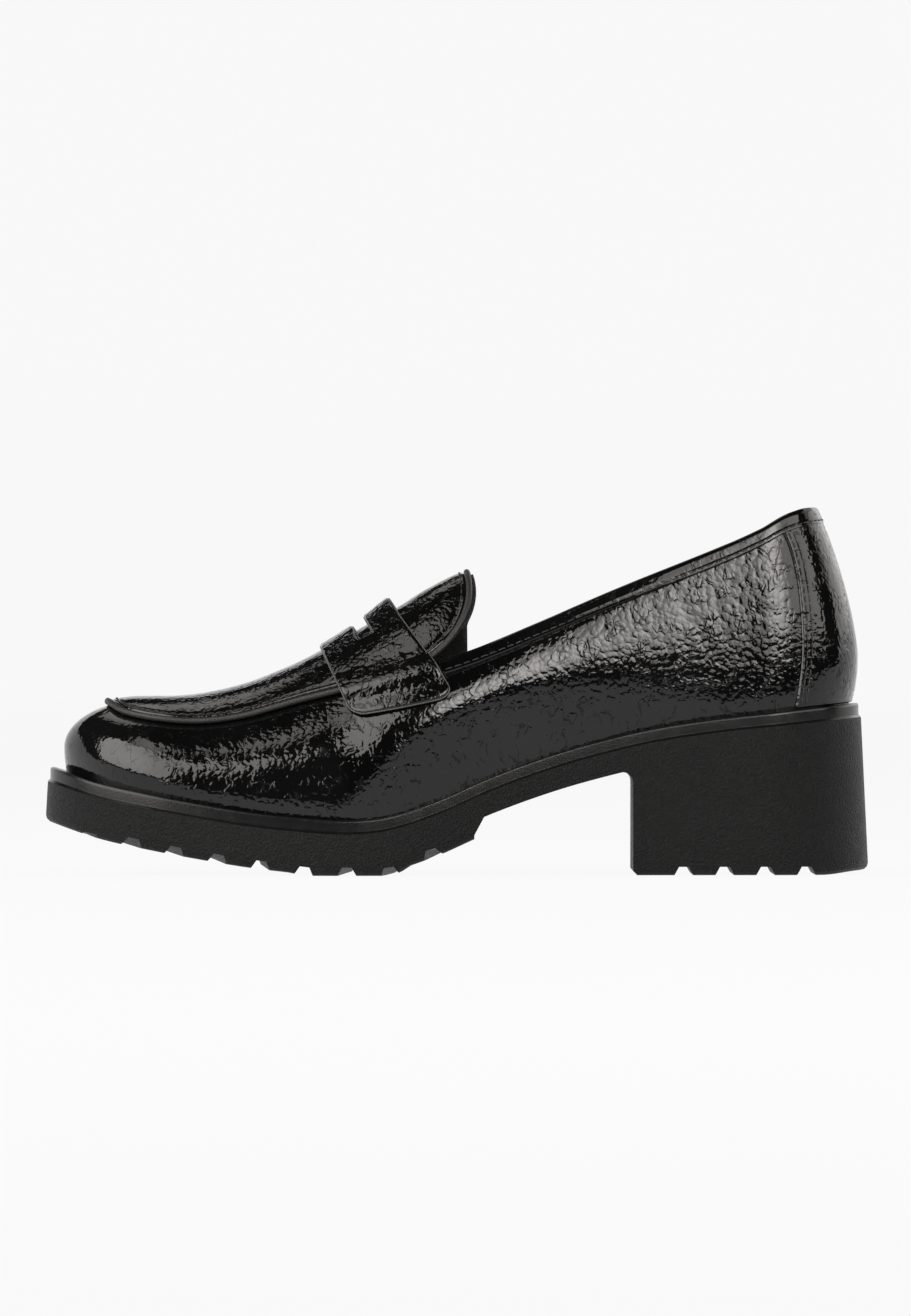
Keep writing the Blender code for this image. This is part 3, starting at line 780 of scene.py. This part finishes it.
def turned_in(u, down):
    """How far the top of the quarter turns in under the collar's binding, most at the front."""
    share = np.clip(1 - down / (1.3 * BAND_HEIGHT), 0, 1)
    front = ease(0.40, 0.50, station_of_loop(u)) * (1 - 0.9 * ease(0.55, 0.85, station_of_loop(u)))
    return COLLAR_TURN * front * share**1.6


def upper_sheet(columns, rows, cells):
    """The wall and the part of the lid that reaches back to the throat: points, normals, faces."""
    u = np.arange(2 * columns) / columns - 1
    top = 1 - COLLAR_ROLL * ease(0.47, 0.53, np.abs(u)) / wall_height(u)
    u, v = np.meshgrid(u, spaced(-0.02, 1, rows + 1))
    v = v * top
    wall, wall_up = wall_point(u, v), wall_normal(u, np.clip(v, 0, 1))
    wall = wall - wall_up * turned_in(u, (1 - v) * wall_height(u))[..., None]
    throat = round(columns * float(loop_of_station(THROAT)))
    t, w = np.arange(1, throat + 1) / columns, spaced(-1, 1, cells + 1)[1:-1]
    t, w = np.meshgrid(t, w, indexing="ij")
    points = np.concatenate([wall.reshape(-1, 3), lid_point(t, w).reshape(-1, 3)])
    normals = np.concatenate([wall_up.reshape(-1, 3), skin_normal(t, w).reshape(-1, 3)])
    toe = rows * 2 * columns + columns
    lid = np.full((throat + 1, cells + 1), toe)
    lid[1:, 0] = toe - np.arange(1, throat + 1)
    lid[1:, -1] = toe + np.arange(1, throat + 1)
    lid[1:, 1:-1] = np.arange(throat * (cells - 1)).reshape(throat, -1) + (rows + 1) * 2 * columns
    over = np.stack([lid[:-1, :-1], lid[1:, :-1], lid[1:, 1:], lid[:-1, 1:]], -1).reshape(-1, 4)
    around = grid_faces(rows + 1, 2 * columns, wrap=True)[:, ::-1]
    return points, normals, np.concatenate([around, over])


def make_upper(patent, lining):
    points, normals, faces = upper_sheet(300, 56, 36)
    inside = points - normals * LEATHER
    outside = creased(points, normals)
    shell("vamp_and_quarters", inside, outside, faces, patent, "patent_leather", "upper")
    points, normals, faces = upper_sheet(150, 28, 20)
    outside = points - normals * (LEATHER + LINING_CLEARANCE)
    shell("quarter_lining", points - normals * WALL, outside, faces, lining, "lining", "upper")


def tongue_end(w):
    """Loop place of the rear edge of the tongue."""
    side, back = loop_of_station(TONGUE_SIDE), loop_of_station(TONGUE_BACK)
    ears = TONGUE_EARS * w * w * (1 - w**4)
    return mix(side, back, (1 - np.abs(w) ** TONGUE_SQUARE) ** (1 / TONGUE_CORNER)) + ears


def make_apron(patent):
    """The plug of the vamp, which runs back into the tongue."""
    rows, columns = 190, 71
    w = np.sin(np.linspace(-1, 1, columns) * math.pi / 2)
    share = np.linspace(0, 1, rows)[:, None]
    t, w = np.broadcast_arrays(tongue_end(w) * share, w)
    base, up = lid_point(t, w).reshape(-1, 3), skin_normal(t, w * 0.999).reshape(-1, 3)
    faces = grid_faces(rows, columns)
    distance = edge_distance(base, faces)
    thick = APRON_THICKNESS * rounding(distance, APRON_ROUND) - channel(distance, APRON_STITCH)
    inside, outside = base + up * GAP, base + up * (GAP + thick)[:, None]
    return shell("apron_and_tongue", inside, outside, faces, patent, "patent_leather", "apron")


def make_tongue_lining(lining):
    """The tongue's lining, longer on the medial side, where it hangs down behind the collar."""
    rows, columns = 30, 61
    w = np.sin(np.linspace(-1, 1, columns) * math.pi / 2) * TONGUE_LINING_WIDTH
    drop = np.append(np.zeros(columns), MEDIAL_HEM)
    w = np.append(w, w[-1:].repeat(len(MEDIAL_HEM)))
    columns = len(w)
    reach = tongue_end(w) + TONGUE_LINING_REACH
    reach = np.where(w > 0, np.maximum(reach, loop_of_station(MEDIAL_LINING_END)), reach)
    share = np.linspace(0, 1, rows)[:, None]
    t, w = np.broadcast_arrays(mix(TONGUE_LINING_START, reach, share), w)
    base, up = lid_point(t, w), skin_normal(t, w).reshape(-1, 3)
    base[..., 2] -= drop
    base = base.reshape(-1, 3)
    faces = grid_faces(rows, columns)
    edge = rounding(edge_distance(base, faces), TONGUE_LINING_ROUND)
    outside = base + up * TONGUE_LINING_RAISE
    inside = outside - up * (TONGUE_LINING_THICKNESS * edge)[:, None]
    shell("tongue_lining", inside, outside, faces, lining, "lining", "apron")


def apron_border(count):
    """(t, w) along the apron's edge: back from the toe, across the tongue and forward again."""
    side = loop_of_station(TONGUE_SIDE)
    t = np.linspace(0, side, count)[1:-1]
    across = np.sin(np.linspace(1, -1, count // 2) * math.pi / 2)
    t = np.concatenate([[0], t, tongue_end(across), t[::-1]])
    w = np.concatenate([[0], np.ones(count - 2), across, -np.ones(count - 2)])
    return t, w


def make_piping(leather, apron, thread):
    """The cord sewn in round the apron and its tongue, and the row of stitches along it."""
    t, w = apron_border(200)
    base, up = lid_point(t, w), skin_normal(t, w * 0.999)
    along = unit(np.roll(base, -1, 0) - np.roll(base, 1, 0))
    away = unit(np.cross(up, along))
    on_tongue = ease(TONGUE_SIDE - 0.02, TONGUE_SIDE + 0.02, station_of_loop(t))
    out = mix(PIPING_RADIUS + GAP, TONGUE_PIPING_OUT, on_tongue)[:, None]
    path = base + away * out + up * (PIPING_RADIUS + GAP)
    for _ in range(2):
        path = (np.roll(path, 1, 0) + 2 * path + np.roll(path, -1, 0)) / 4
    points, faces = tube(path, PIPING_RADIUS, closed=True, sides=14)
    piece("apron_piping", points, faces, leather, "piping_leather", "piping", sharp=80)
    inner = laid_on(apron, base - away * APRON_STITCH + up * 0.0018)
    stitches("apron_stitches", [inner], thread)


def on_slanted_cut(share, q):
    """Loop place where a line of the skin meets the strap's slanted cut: 0 front, 1 rear."""
    share, q = np.broadcast_arrays(share, q)
    ridge = mix(STRAP_FRONT, STRAP_REAR, share)
    slant = mix(STRAP_FRONT_SLANT, STRAP_REAR_SLANT, share)
    top = lid_point(loop_of_station(ridge), 0)

    def beyond(t):
        place = skin(t, q)
        return place[..., 0] - top[..., 0] - slant * (top[..., 2] - place[..., 2])

    return solve(beyond, np.full(q.shape, 0.2), np.full(q.shape, 0.8))


def strap_lift(t, q, share):
    """Height of the strap's inner face over the skin: over the apron, the piping and the wall."""
    over_apron = 2 * GAP + APRON_THICKNESS
    over_piping = 2.4 * GAP + 2 * PIPING_RADIUS
    below = (np.abs(q) - 1) * wall_height(t)
    lift = mix(over_apron, over_piping, ease(-4 * PIPING_RADIUS, 0.0, below))
    lift = mix(lift, GAP, ease(4.2 * PIPING_RADIUS, 9 * PIPING_RADIUS, below))
    middle = np.cos(math.pi / 2 * np.minimum(np.abs(q) / BRIDGE_REACH, 1)) ** 2
    bridge = mix(LIP_RISE, BRIDGE_RISE, ease(SLOT_REAR, 1, share))
    front_lip = LIP_RISE / 3 * ease(0.0, SLOT_FRONT, share)
    return lift + middle * np.where(share < SLOT_REAR - 1e-9, front_lip, bridge)


def make_strap(patent, edging):
    """The saddle across the instep, with its slot, the raised bridge and its painted edge."""
    front, rear = spaced(0, SLOT_FRONT, 26, 0.7), spaced(SLOT_REAR, 1, 20, 0.7)
    share = np.concatenate([front, rear])
    ends = spaced(SLOT_REACH, 1, 60, 0.6)
    a = np.concatenate([-ends[::-1], spaced(-SLOT_REACH, SLOT_REACH, 80)[1:-1], ends])
    width = RIM_LENGTH * (STRAP_REAR - STRAP_FRONT)
    corner = STRAP_CORNER / (width / 2)
    into = np.clip((np.abs(2 * share - 1) - (1 - corner)) / corner, 0, 1)
    drop = mix(STRAP_DROP, STRAP_REAR_DROP, share) - STRAP_CORNER * (1 - np.sqrt(1 - into * into))
    middle = loop_of_station(mix(STRAP_FRONT, STRAP_REAR, share))
    end = 1 + drop / wall_height(middle)
    share, a = np.meshgrid(share, a, indexing="ij")
    q = a * end[:, None]
    t = on_slanted_cut(share, q)
    up = skin_normal(t, q).reshape(-1, 3)
    base = skin(t, q).reshape(-1, 3) + up * strap_lift(t, q, share).reshape(-1, 1)
    faces = grid_faces(*share.shape)
    row, column = np.divmod(np.arange(len(faces)), share.shape[1] - 1)
    reach = np.abs(a[0, :-1] + a[0, 1:])[column] / 2
    faces = faces[(row != len(front) - 1) | (reach > SLOT_REACH)]
    edge = rounding(edge_distance(base, faces), STRAP_ROUND)
    outside = base + up * (STRAP_THICKNESS * mix(0.55, 1, edge))[:, None]
    shell("saddle_leather", base, outside, faces, patent, "patent_leather", "saddle_strap")

    sides, on_edge = sides_of(faces)
    after = dict(sides[on_edge].tolist())
    points, more = [], []
    while after:
        first, here = after.popitem()
        loop = [first]
        while here != first:
            loop.append(here)
            here = after.pop(here)
        path = base[loop] + up[loop] * STRAP_THICKNESS * 0.5
        ring, quads = tube(path, EDGE_LINE, closed=True, sides=6)
        more += [tuple(len(points) + i for i in f) for f in quads]
        points.extend(ring)
    piece("saddle_edge", np.array(points), more, edging, "piping_leather", "saddle_strap", sharp=80)


def make_collar(patent, thread):
    """The binding rolled over the collar's edge, and its row of stitches."""
    along = np.linspace(-1, 1, 341)
    side = np.where(along < 0, -1.0, 1.0)
    out, inner = GAP + TRIM_THICKNESS, -WALL - COLLAR_INSIDE
    middle, half = (out + inner) / 2, (out - inner) / 2
    turn = np.linspace(0, math.pi, 13)
    foot = BAND_HEIGHT + GAP
    rounded = 0.0002
    down = np.concatenate([
        [foot, foot, foot - rounded],
        spaced(BAND_HEIGHT - 0.0010, half + 0.0004, 7),
        half * (1 - np.sin(turn)),
        [COLLAR_HEM - 0.0007, COLLAR_HEM, COLLAR_HEM],
    ])
    level = np.concatenate([
        [0.0, out * 0.75, out * 0.95],
        np.full(7, out),
        middle + half * np.cos(turn),
        [inner, inner + rounded, -WALL + 0.0001],
    ])
    level = level - channel(down, COLLAR_STITCH) * (level > 0)
    front = np.abs(along)
    q = side[:, None] * (1 + np.abs(down) / wall_height(side * 0.5)[:, None])
    start = on_slanted_cut(np.full(q.shape, BAND_START), q)
    u = side[:, None] * mix(start, 1, 1 - front[:, None])
    down, level = np.broadcast_to(down, u.shape), np.broadcast_to(level, u.shape)
    v = 1 - np.maximum(down, 0) / wall_height(u)
    level = level - turned_in(u, np.maximum(down, 0))
    ring = wall_point(u, v) + wall_normal(u, v) * level[..., None]
    rows, columns = u.shape
    faces = grid_faces(rows, columns, wrap=True).tolist()
    last = (rows - 1) * columns
    faces += [tuple(range(columns)), tuple(range(last, last + columns))]
    points = ring.reshape(-1, 3)
    collar = piece("collar_binding", points, faces, patent, "patent_leather", "collar_band")
    u = u[:, 0]
    v = 1 - COLLAR_STITCH / wall_height(u)
    level = out - turned_in(u, COLLAR_STITCH)
    path = wall_point(u, v) + wall_normal(u, v) * level[:, None]
    stitches("collar_stitches", [laid_on(collar, path)], thread)


def stay_edge(side, v, reach):
    """Loop place at a distance forward of the heel's back, on one side."""
    back = wall_point(1.0, v)[..., 0]
    low, high = np.full(v.shape, 0.6), np.full(v.shape, 1.0)
    return solve(lambda t: wall_point(side * t, v)[..., 0] - back + reach, low, high)


def make_back_stay(patent, thread):
    """The strip over the back seam, with a double row of stitches inside each edge."""
    share = spaced(0.0, 1.0, 60, 0.4)
    high = 1 - (BAND_HEIGHT - STAY_TUCK) / wall_height(1.0)
    v = mix(0.004, high, share)
    reach = mix(STAY_FOOT, STAY_TOP, ease(0.1, 0.95, share))
    ends = {side: stay_edge(side, v, reach) for side in (-1, 1)}
    a = spaced(-1, 1, 91, 0.5)
    u = np.where(a >= 0, 1 - a * (1 - ends[1])[:, None], 1 - a * (1 - ends[-1])[:, None])
    v = np.broadcast_to(v[:, None], u.shape)
    base, up = wall_point(u, v).reshape(-1, 3), wall_normal(u, v).reshape(-1, 3)
    faces = grid_faces(*u.shape)
    distance = edge_distance(base, faces)
    thick = (TRIM_THICKNESS - STAY_THINNER) * rounding(distance, STAY_ROUND)
    for row in STAY_STITCHES:
        thick -= channel(distance, row, STAY_CHANNEL_DEPTH)
    inside, outside = base + up * GAP, base + up * (GAP + thick)[:, None]
    stay = shell("back_stay_leather", inside, outside, faces, patent, "patent_leather", "back_stay")
    rows = []
    for side in (-1, 1):
        for row in STAY_STITCHES:
            v = np.linspace(0.02, float(high) - 0.02, 80)
            edge = stay_edge(side, v, mix(STAY_FOOT, STAY_TOP, ease(0.1, 0.95, v / float(high))))
            u = side * edge
            along = wall_point(u + side * STEP, v) - wall_point(u, v)
            u = u + side * STEP * row / length(along)
            rows.append(laid_on(stay, wall_point(u, v) + wall_normal(u, v) * 0.0012))
    stitches("back_stay_stitches", rows, thread)


def make_sock(lining):
    """The padded sock on the insole, a little dished for the foot."""
    t, w = np.meshgrid(np.linspace(0, 1, 121), spaced(-1, 1, 41, 0.5), indexing="ij")
    station = station_of_loop(t)
    margin = ledge(station) + WALL + INSOLE_CLEARANCE
    plan = mix(inset(-t, margin), inset(t, margin), ((1 + w) / 2)[..., None])
    low = seat(station_of_x(plan[..., 0])) + GAP
    base = np.concatenate([plan, low[..., None]], -1).reshape(-1, 3)
    faces = grid_faces(*t.shape)
    thick = INSOLE_THICKNESS * mix(0.4, 1.0, rounding(edge_distance(base, faces), SOCK_ROUND))
    thick = thick - SOCK_DISH * (1 - w.reshape(-1) ** 2)
    up = np.array([0.0, 0.0, 1.0])
    shell("sock_lining", base, base + up * thick[:, None], faces, lining, "lining", "insole")


# The sole


def sole_levels(station):
    """Height and outset down the side of the sole: bead, rim, step, wall and rounded edge."""
    top, low = seat(station), ground(station)
    step = top - RIM_HEIGHT - STEP_HEIGHT
    foot = STEP_OUT + WALL_FLARE * (step - low)
    levels = [(top, 0 * top - BEAD_BACK - 0.0004)]
    for degrees in (60, 30, 0):
        turn = math.radians(degrees)
        back = BEAD_BACK * (1 - math.cos(turn))
        levels.append((top - BEAD_HEIGHT * (1 - math.sin(turn)), 0 * top - back))
    levels += [
        (top - RIM_HEIGHT + 0.0004, 0 * top),
        (top - RIM_HEIGHT, 0 * top + 0.00005),
        (step + 0.0002, 0 * top + STEP_OUT * 0.88),
        (step - 0.0003, 0 * top + STEP_OUT),
    ]
    for share in (0.25, 0.5, 0.75, 1.0):
        levels.append((mix(step, low + EDGE_ROUND, share), mix(STEP_OUT, foot, share)))
    for degrees in (30, 60, 90):
        turn = math.radians(degrees)
        back = EDGE_ROUND * (1 - math.cos(turn))
        levels.append((low + EDGE_ROUND * (1 - math.sin(turn)), foot - back))
    return np.stack([np.stack(level, -1) for level in levels], -2)


def prism(name, profile, reach):
    """A cutter: a profile in X and Z, drawn across the shoe."""
    count = len(profile)
    points = [(x, y, z) for y in (-reach, reach) for x, z in profile]
    faces = [tuple(range(count)), tuple(reversed(range(count, 2 * count)))]
    faces += [(k, k + count, (k + 1) % count + count, (k + 1) % count) for k in range(count)]
    return put(name, mesh_of(name, points, faces))


def arch_cutter():
    """The space under the waist, from the end of the tread to the breast of the heel."""
    below = -PLATFORM / 2
    tread_end = x_of_station(TREAD_END)
    breast = float(station_of_x(-BREAST - BREAST_ROUND))
    profile = [(tread_end - TREAD_STEP, below), (tread_end - TREAD_STEP, float(ground(TREAD_END)))]
    for station in spaced(TREAD_END, breast, 24):
        profile.append((x_of_station(station), float(seat(station)) - WAIST_THICKNESS))
    corner = profile[-1][1] - BREAST_ROUND
    for degrees in (75, 60, 45, 30, 15, 0):
        turn = math.radians(degrees)
        x = -BREAST - BREAST_ROUND * (1 - math.cos(turn))
        profile.append((x, corner + BREAST_ROUND * math.sin(turn)))
    behind = -BREAST + 2 * BREAST_CHAMFER
    profile += [(-BREAST, BREAST_CHAMFER), (behind, -BREAST_CHAMFER), (behind, below)]
    return prism("arch_cutter", profile, BALL_WIDTH)


def groove_cutter(name, x, depth, turn):
    """A groove across the tread. Its side towards the lateral edge of the sole is at x."""
    below, spread = 2 * GROOVE_DEPTH, (GROOVE_MOUTH - GROOVE_FLOOR) / (2 * GROOVE_DEPTH)
    wide = GROOVE_FLOOR / 2 + spread * (depth + below)
    floor = GROOVE_FLOOR / 2
    profile = [(-wide, -below), (-floor, depth), (floor, depth), (wide, -below)]
    made = prism(name, profile, BALL_WIDTH)
    station = station_of_x(x)
    lateral = rim(-loop_of_station(station))[1]
    rise = (ground(station + 0.01) - ground(station - 0.01)) / (0.02 * RIM_LENGTH)
    made.matrix_world = (
        Matrix.Translation((x, lateral, ground(station)))
        @ Matrix.Rotation(turn, 4, "Z")
        @ Matrix.Rotation(-math.atan(rise), 4, "Y")
    )
    return made


def make_outsole(rubber, smooth_rubber):
    """The unit sole: rim, platform, waist and block heel, moulded in one."""
    columns = 150
    t = np.arange(columns + 1) / columns
    levels = sole_levels(station_of_loop(t))
    height, outset = levels[..., 0], levels[..., 1]
    halves = []
    for side in (-1, 1):
        u = np.broadcast_to(side * t[:, None], outset.shape)
        halves.append(np.concatenate([inset(u, -outset), height[..., None]], -1))
    points = np.concatenate([halves[0], halves[1][:, ::-1]], 1)
    faces = grid_faces(columns + 1, points.shape[1], wrap=True)
    made = piece("unit_sole", points.reshape(-1, 3), faces.tolist(), rubber, "sole_rubber", "outsole")
    cutters = [arch_cutter()]
    for k in range(HEEL_GROOVES):
        x = HEEL_PITCH * (k - (HEEL_GROOVES - 1) / 2)
        cutters.append(groove_cutter(f"heel_groove_{k + 1}", x, GROOVE_DEPTH, 0.0))
    for k in range(FORE_GROOVES):
        x = x_of_station(REAR_FORE_GROOVE - FORE_PITCH * k)
        depth = GROOVE_DEPTH * (0.35 if k == FORE_GROOVES - 1 else 1.0)
        cutters.append(groove_cutter(f"fore_groove_{k + 1}", x, depth, GROOVE_FAN * (k - 3)))
    for cutter in cutters:
        cut = made.modifiers.new(cutter.name, "BOOLEAN")
        cut.operation = "DIFFERENCE"
        cut.solver = "EXACT"
        cut.object = cutter
    cut_sole = made.evaluated_get(bpy.context.evaluated_depsgraph_get())
    cut_mesh = bpy.data.meshes.new_from_object(cut_sole)
    made.modifiers.clear()
    made.data = cut_mesh
    for cutter in cutters:
        bpy.data.objects.remove(cutter)
    made.data.materials.clear()
    made.data.materials.append(rubber)
    made.data.materials.append(smooth_rubber)
    for face in made.data.polygons:
        under_rim = seat(station_of_x(face.center.x)) - RIM_HEIGHT - STEP_HEIGHT * 0.6
        face.material_index = int(face.center.z > under_rim)
    made.data.shade_smooth()
    made.data.set_sharp_from_angle(angle=math.radians(24))


# Finishes of this shoe


def patent_finish(name, crinkle=1.0, grain=1.0):
    """Black patent leather: small pebbles, dark broken cracks between them, folds and a wave."""
    f = Finish(name)
    wide = f.pushed(f.place, WIDE_SCALE, WIDE_PUSH)
    place = f.pushed(wide, NEAR_SCALE, NEAR_PUSH)
    x = f.node("SeparateXYZ", values={0: f.place}, output="X")
    calm = mix(TOE_CALM, 1.0, f.ease(CALM_FROM, CALM_TO, x))
    pebble = f.cells(place, PEBBLE_SCALE, "SMOOTH_F1", Smoothness=0.35)
    small = f.cells(place, SMALL_SCALE, "SMOOTH_F1", Smoothness=0.5)
    peel = f.noise(f.place, PEEL_SCALE, 1)
    bent = f.pushed(wide, CRACK_SCALE, CRACK_PUSH)
    edge = f.cells(f.vector("MULTIPLY", {0: bent, 1: CRACK_STRETCH}), CRACK_SCALE)
    broken = f.ease(0.50, 0.60, f.noise(f.place, BROKEN_SCALE, 2)) * calm
    folds = f.noise(f.vector("MULTIPLY", {0: wide, 1: FOLD_SCALES}), 1.0, 1.0)
    waves = f.noise(wide, WAVE_SCALE, 1.0)
    relief = PEBBLE_DEPTH * (1 - pebble * pebble) - SMALL_DEPTH * small * small
    relief = relief + FURROW_DEPTH * f.ease(0.0, 0.14, edge) * broken + FOLD_DEPTH * folds
    relief = grain * calm * relief + grain * PEEL_DEPTH * peel + WAVE_DEPTH * waves
    dust = f.noise(f.place, DUST_SCALE, 3)
    tone = f.blend(f.ease(0.35, 0.7, dust), *map(grey, GLOSS_TONES))
    patent = {
        "Base Color": tone,
        "Roughness": 0.045 + 0.03 * dust,
        "IOR": 1.45,
        "Normal": f.raised(relief * 1000, 0.001 * crinkle),
    }
    bare = {"Base Color": tone, "Roughness": 0.6, "Specular IOR Level": 0.1}
    return f.done(patent, bare, CRACK_SHARE * broken * (1 - f.ease(0.01, 0.075, edge)))


def leather_finish(name, tone, roughness, scale, depth, warm):
    """Matt leather with a small grain."""
    f = Finish(name)
    place = f.pushed(f.place, scale, 0.3 / scale)
    grain = f.ease(0.0, 0.35, f.cells(place, scale))
    cloud = f.noise(f.place, scale / 12, 3)
    return f.done({
        "Base Color": f.blend(cloud, grey(tone * 0.75, warm), grey(tone * 1.25, warm)),
        "Roughness": roughness + 0.12 * (cloud - 0.5),
        "Normal": f.raised(grain, depth),
    })


def rubber_finish(name, roughness, specular, grain):
    """Moulded rubber with a fine pebble."""
    f = Finish(name)
    pebble = f.noise(f.place, 1500, 2)
    swell = f.noise(f.place, 260, 2)
    cloud = f.noise(f.place, 25, 4)
    return f.done({
        "Base Color": f.blend(cloud, *map(grey, RUBBER_TONES)),
        "Roughness": roughness + 0.14 * (swell - 0.5) + 0.1 * (cloud - 0.5),
        "Specular IOR Level": specular,
        "Normal": f.raised(pebble, grain),
    })


# Studio


def make_sweep():
    """A round pale floor that turns up into a wall, low in front of the shoe and high behind."""
    foot = SWEEP_RADIUS - SWEEP_CORNER
    profile = [(0.0, 0.0), (SWEEP_INNER, 0.0), (foot, 0.0)]
    for a in np.linspace(0, math.pi / 2, 12)[1:]:
        profile.append((foot + SWEEP_CORNER * math.sin(a), SWEEP_CORNER * (1 - math.cos(a))))
    around = np.linspace(0, 2 * math.pi, SWEEP_SIDES + 1)[:-1]
    points = [(r * math.cos(a), r * math.sin(a), z) for r, z in profile for a in around]
    for a in around:
        top = mix(SWEEP_FRONT, SWEEP_BACK, ease(0.15, 0.5, math.sin(a)))
        points.append((SWEEP_RADIUS * math.cos(a), SWEEP_RADIUS * math.sin(a), float(top)))
    faces = grid_faces(len(profile) + 1, SWEEP_SIDES, wrap=True).tolist()
    mesh = mesh_of("paper_sweep", points, faces, 0.0001)
    mesh.shade_smooth()
    made = put("paper_sweep", mesh)
    f = Finish("paper")
    speck = f.noise(f.place, 3, 2)
    mesh.materials.append(f.done({
        "Base Color": f.blend(speck, grey(PAPER_TONE * 0.98), grey(PAPER_TONE)),
        "Roughness": 0.9,
        "Specular IOR Level": 0.0,
        "Emission Color": grey(1.0),
        "Emission Strength": PAPER_GLOW,
    }))


def direction(azimuth, elevation):
    """Azimuth 0 is the camera's side, 90 the heel's."""
    a, e = math.radians(azimuth), math.radians(elevation)
    return Vector((math.sin(a) * math.cos(e), -math.cos(a) * math.cos(e), math.sin(e)))


def softbox(name, azimuth, elevation, distance, width, height,
            hot_azimuth, hot_elevation, hot_reach, middle, edge):
    """A soft light, brightest at its hot spot."""
    lamp = bpy.data.lights.new(name, "AREA")
    lamp.shape = "RECTANGLE"
    lamp.size, lamp.size_y = width, height
    lamp.energy = math.pi * width * height
    lamp.use_nodes = True
    hot = SHOE_MIDDLE + direction(hot_azimuth, hot_elevation) * distance
    f = Finish(name, lamp.node_tree)
    place = f.node("NewGeometry", output="Position")
    away = f.vector("DISTANCE", {0: place, 1: hot}, "Value")
    settings = {"interpolation_type": "SMOOTHSTEP"}
    values = {"Value": away, "From Max": hot_reach, "To Min": middle, "To Max": edge}
    strength = f.node("MapRange", settings, values)
    glow = f.node("Emission", values={"Color": (*LIGHT_TINT, 1.0), "Strength": strength})
    f.node("OutputLight", values={"Surface": glow})
    made = put(name, lamp)
    away = direction(azimuth, elevation)
    made.location = SHOE_MIDDLE + away * distance
    made.rotation_euler = away.to_track_quat("Z", "Y").to_euler()


def make_studio():
    make_sweep()
    for row in LIGHTS:
        softbox(**dict(zip(LIGHT_COLUMNS, row)))
    world = bpy.data.worlds.new("dark_room")
    world.use_nodes = True
    world.node_tree.nodes["Background"].inputs["Color"].default_value = grey(ROOM_TONE)
    bpy.context.scene.world = world
    camera = bpy.data.cameras.new("side_camera")
    camera.lens = camera.sensor_width * CAMERA_DISTANCE / FRAME_HEIGHT
    camera.clip_end = CLIP_END
    made = put("side_camera", camera)
    made.location = (SHOE_MIDDLE[0], -CAMERA_DISTANCE, SHOE_MIDDLE[2])
    made.rotation_euler = (math.pi / 2, 0, 0)
    bpy.context.scene.camera = made
    bpy.context.scene.view_settings.view_transform = "Standard"


def main():
    patent = patent_finish("patent_leather_crinkled", grain=1.4)
    trim = patent_finish("patent_leather_trim", crinkle=0.6)
    strap = patent_finish("patent_leather_strap", grain=2.4)
    leathers = [leather_finish(**dict(zip(LEATHER_COLUMNS, row))) for row in LEATHERS]
    piping, lining, thread, edging = leathers
    rubbers = [rubber_finish(**dict(zip(RUBBER_COLUMNS, row))) for row in RUBBERS]
    make_outsole(*rubbers)
    make_sock(lining)
    make_upper(patent, lining)
    apron = make_apron(patent)
    make_tongue_lining(lining)
    make_piping(piping, apron, thread)
    make_strap(strap, edging)
    make_collar(trim, thread)
    make_back_stay(patent, thread)
    make_studio()


main()
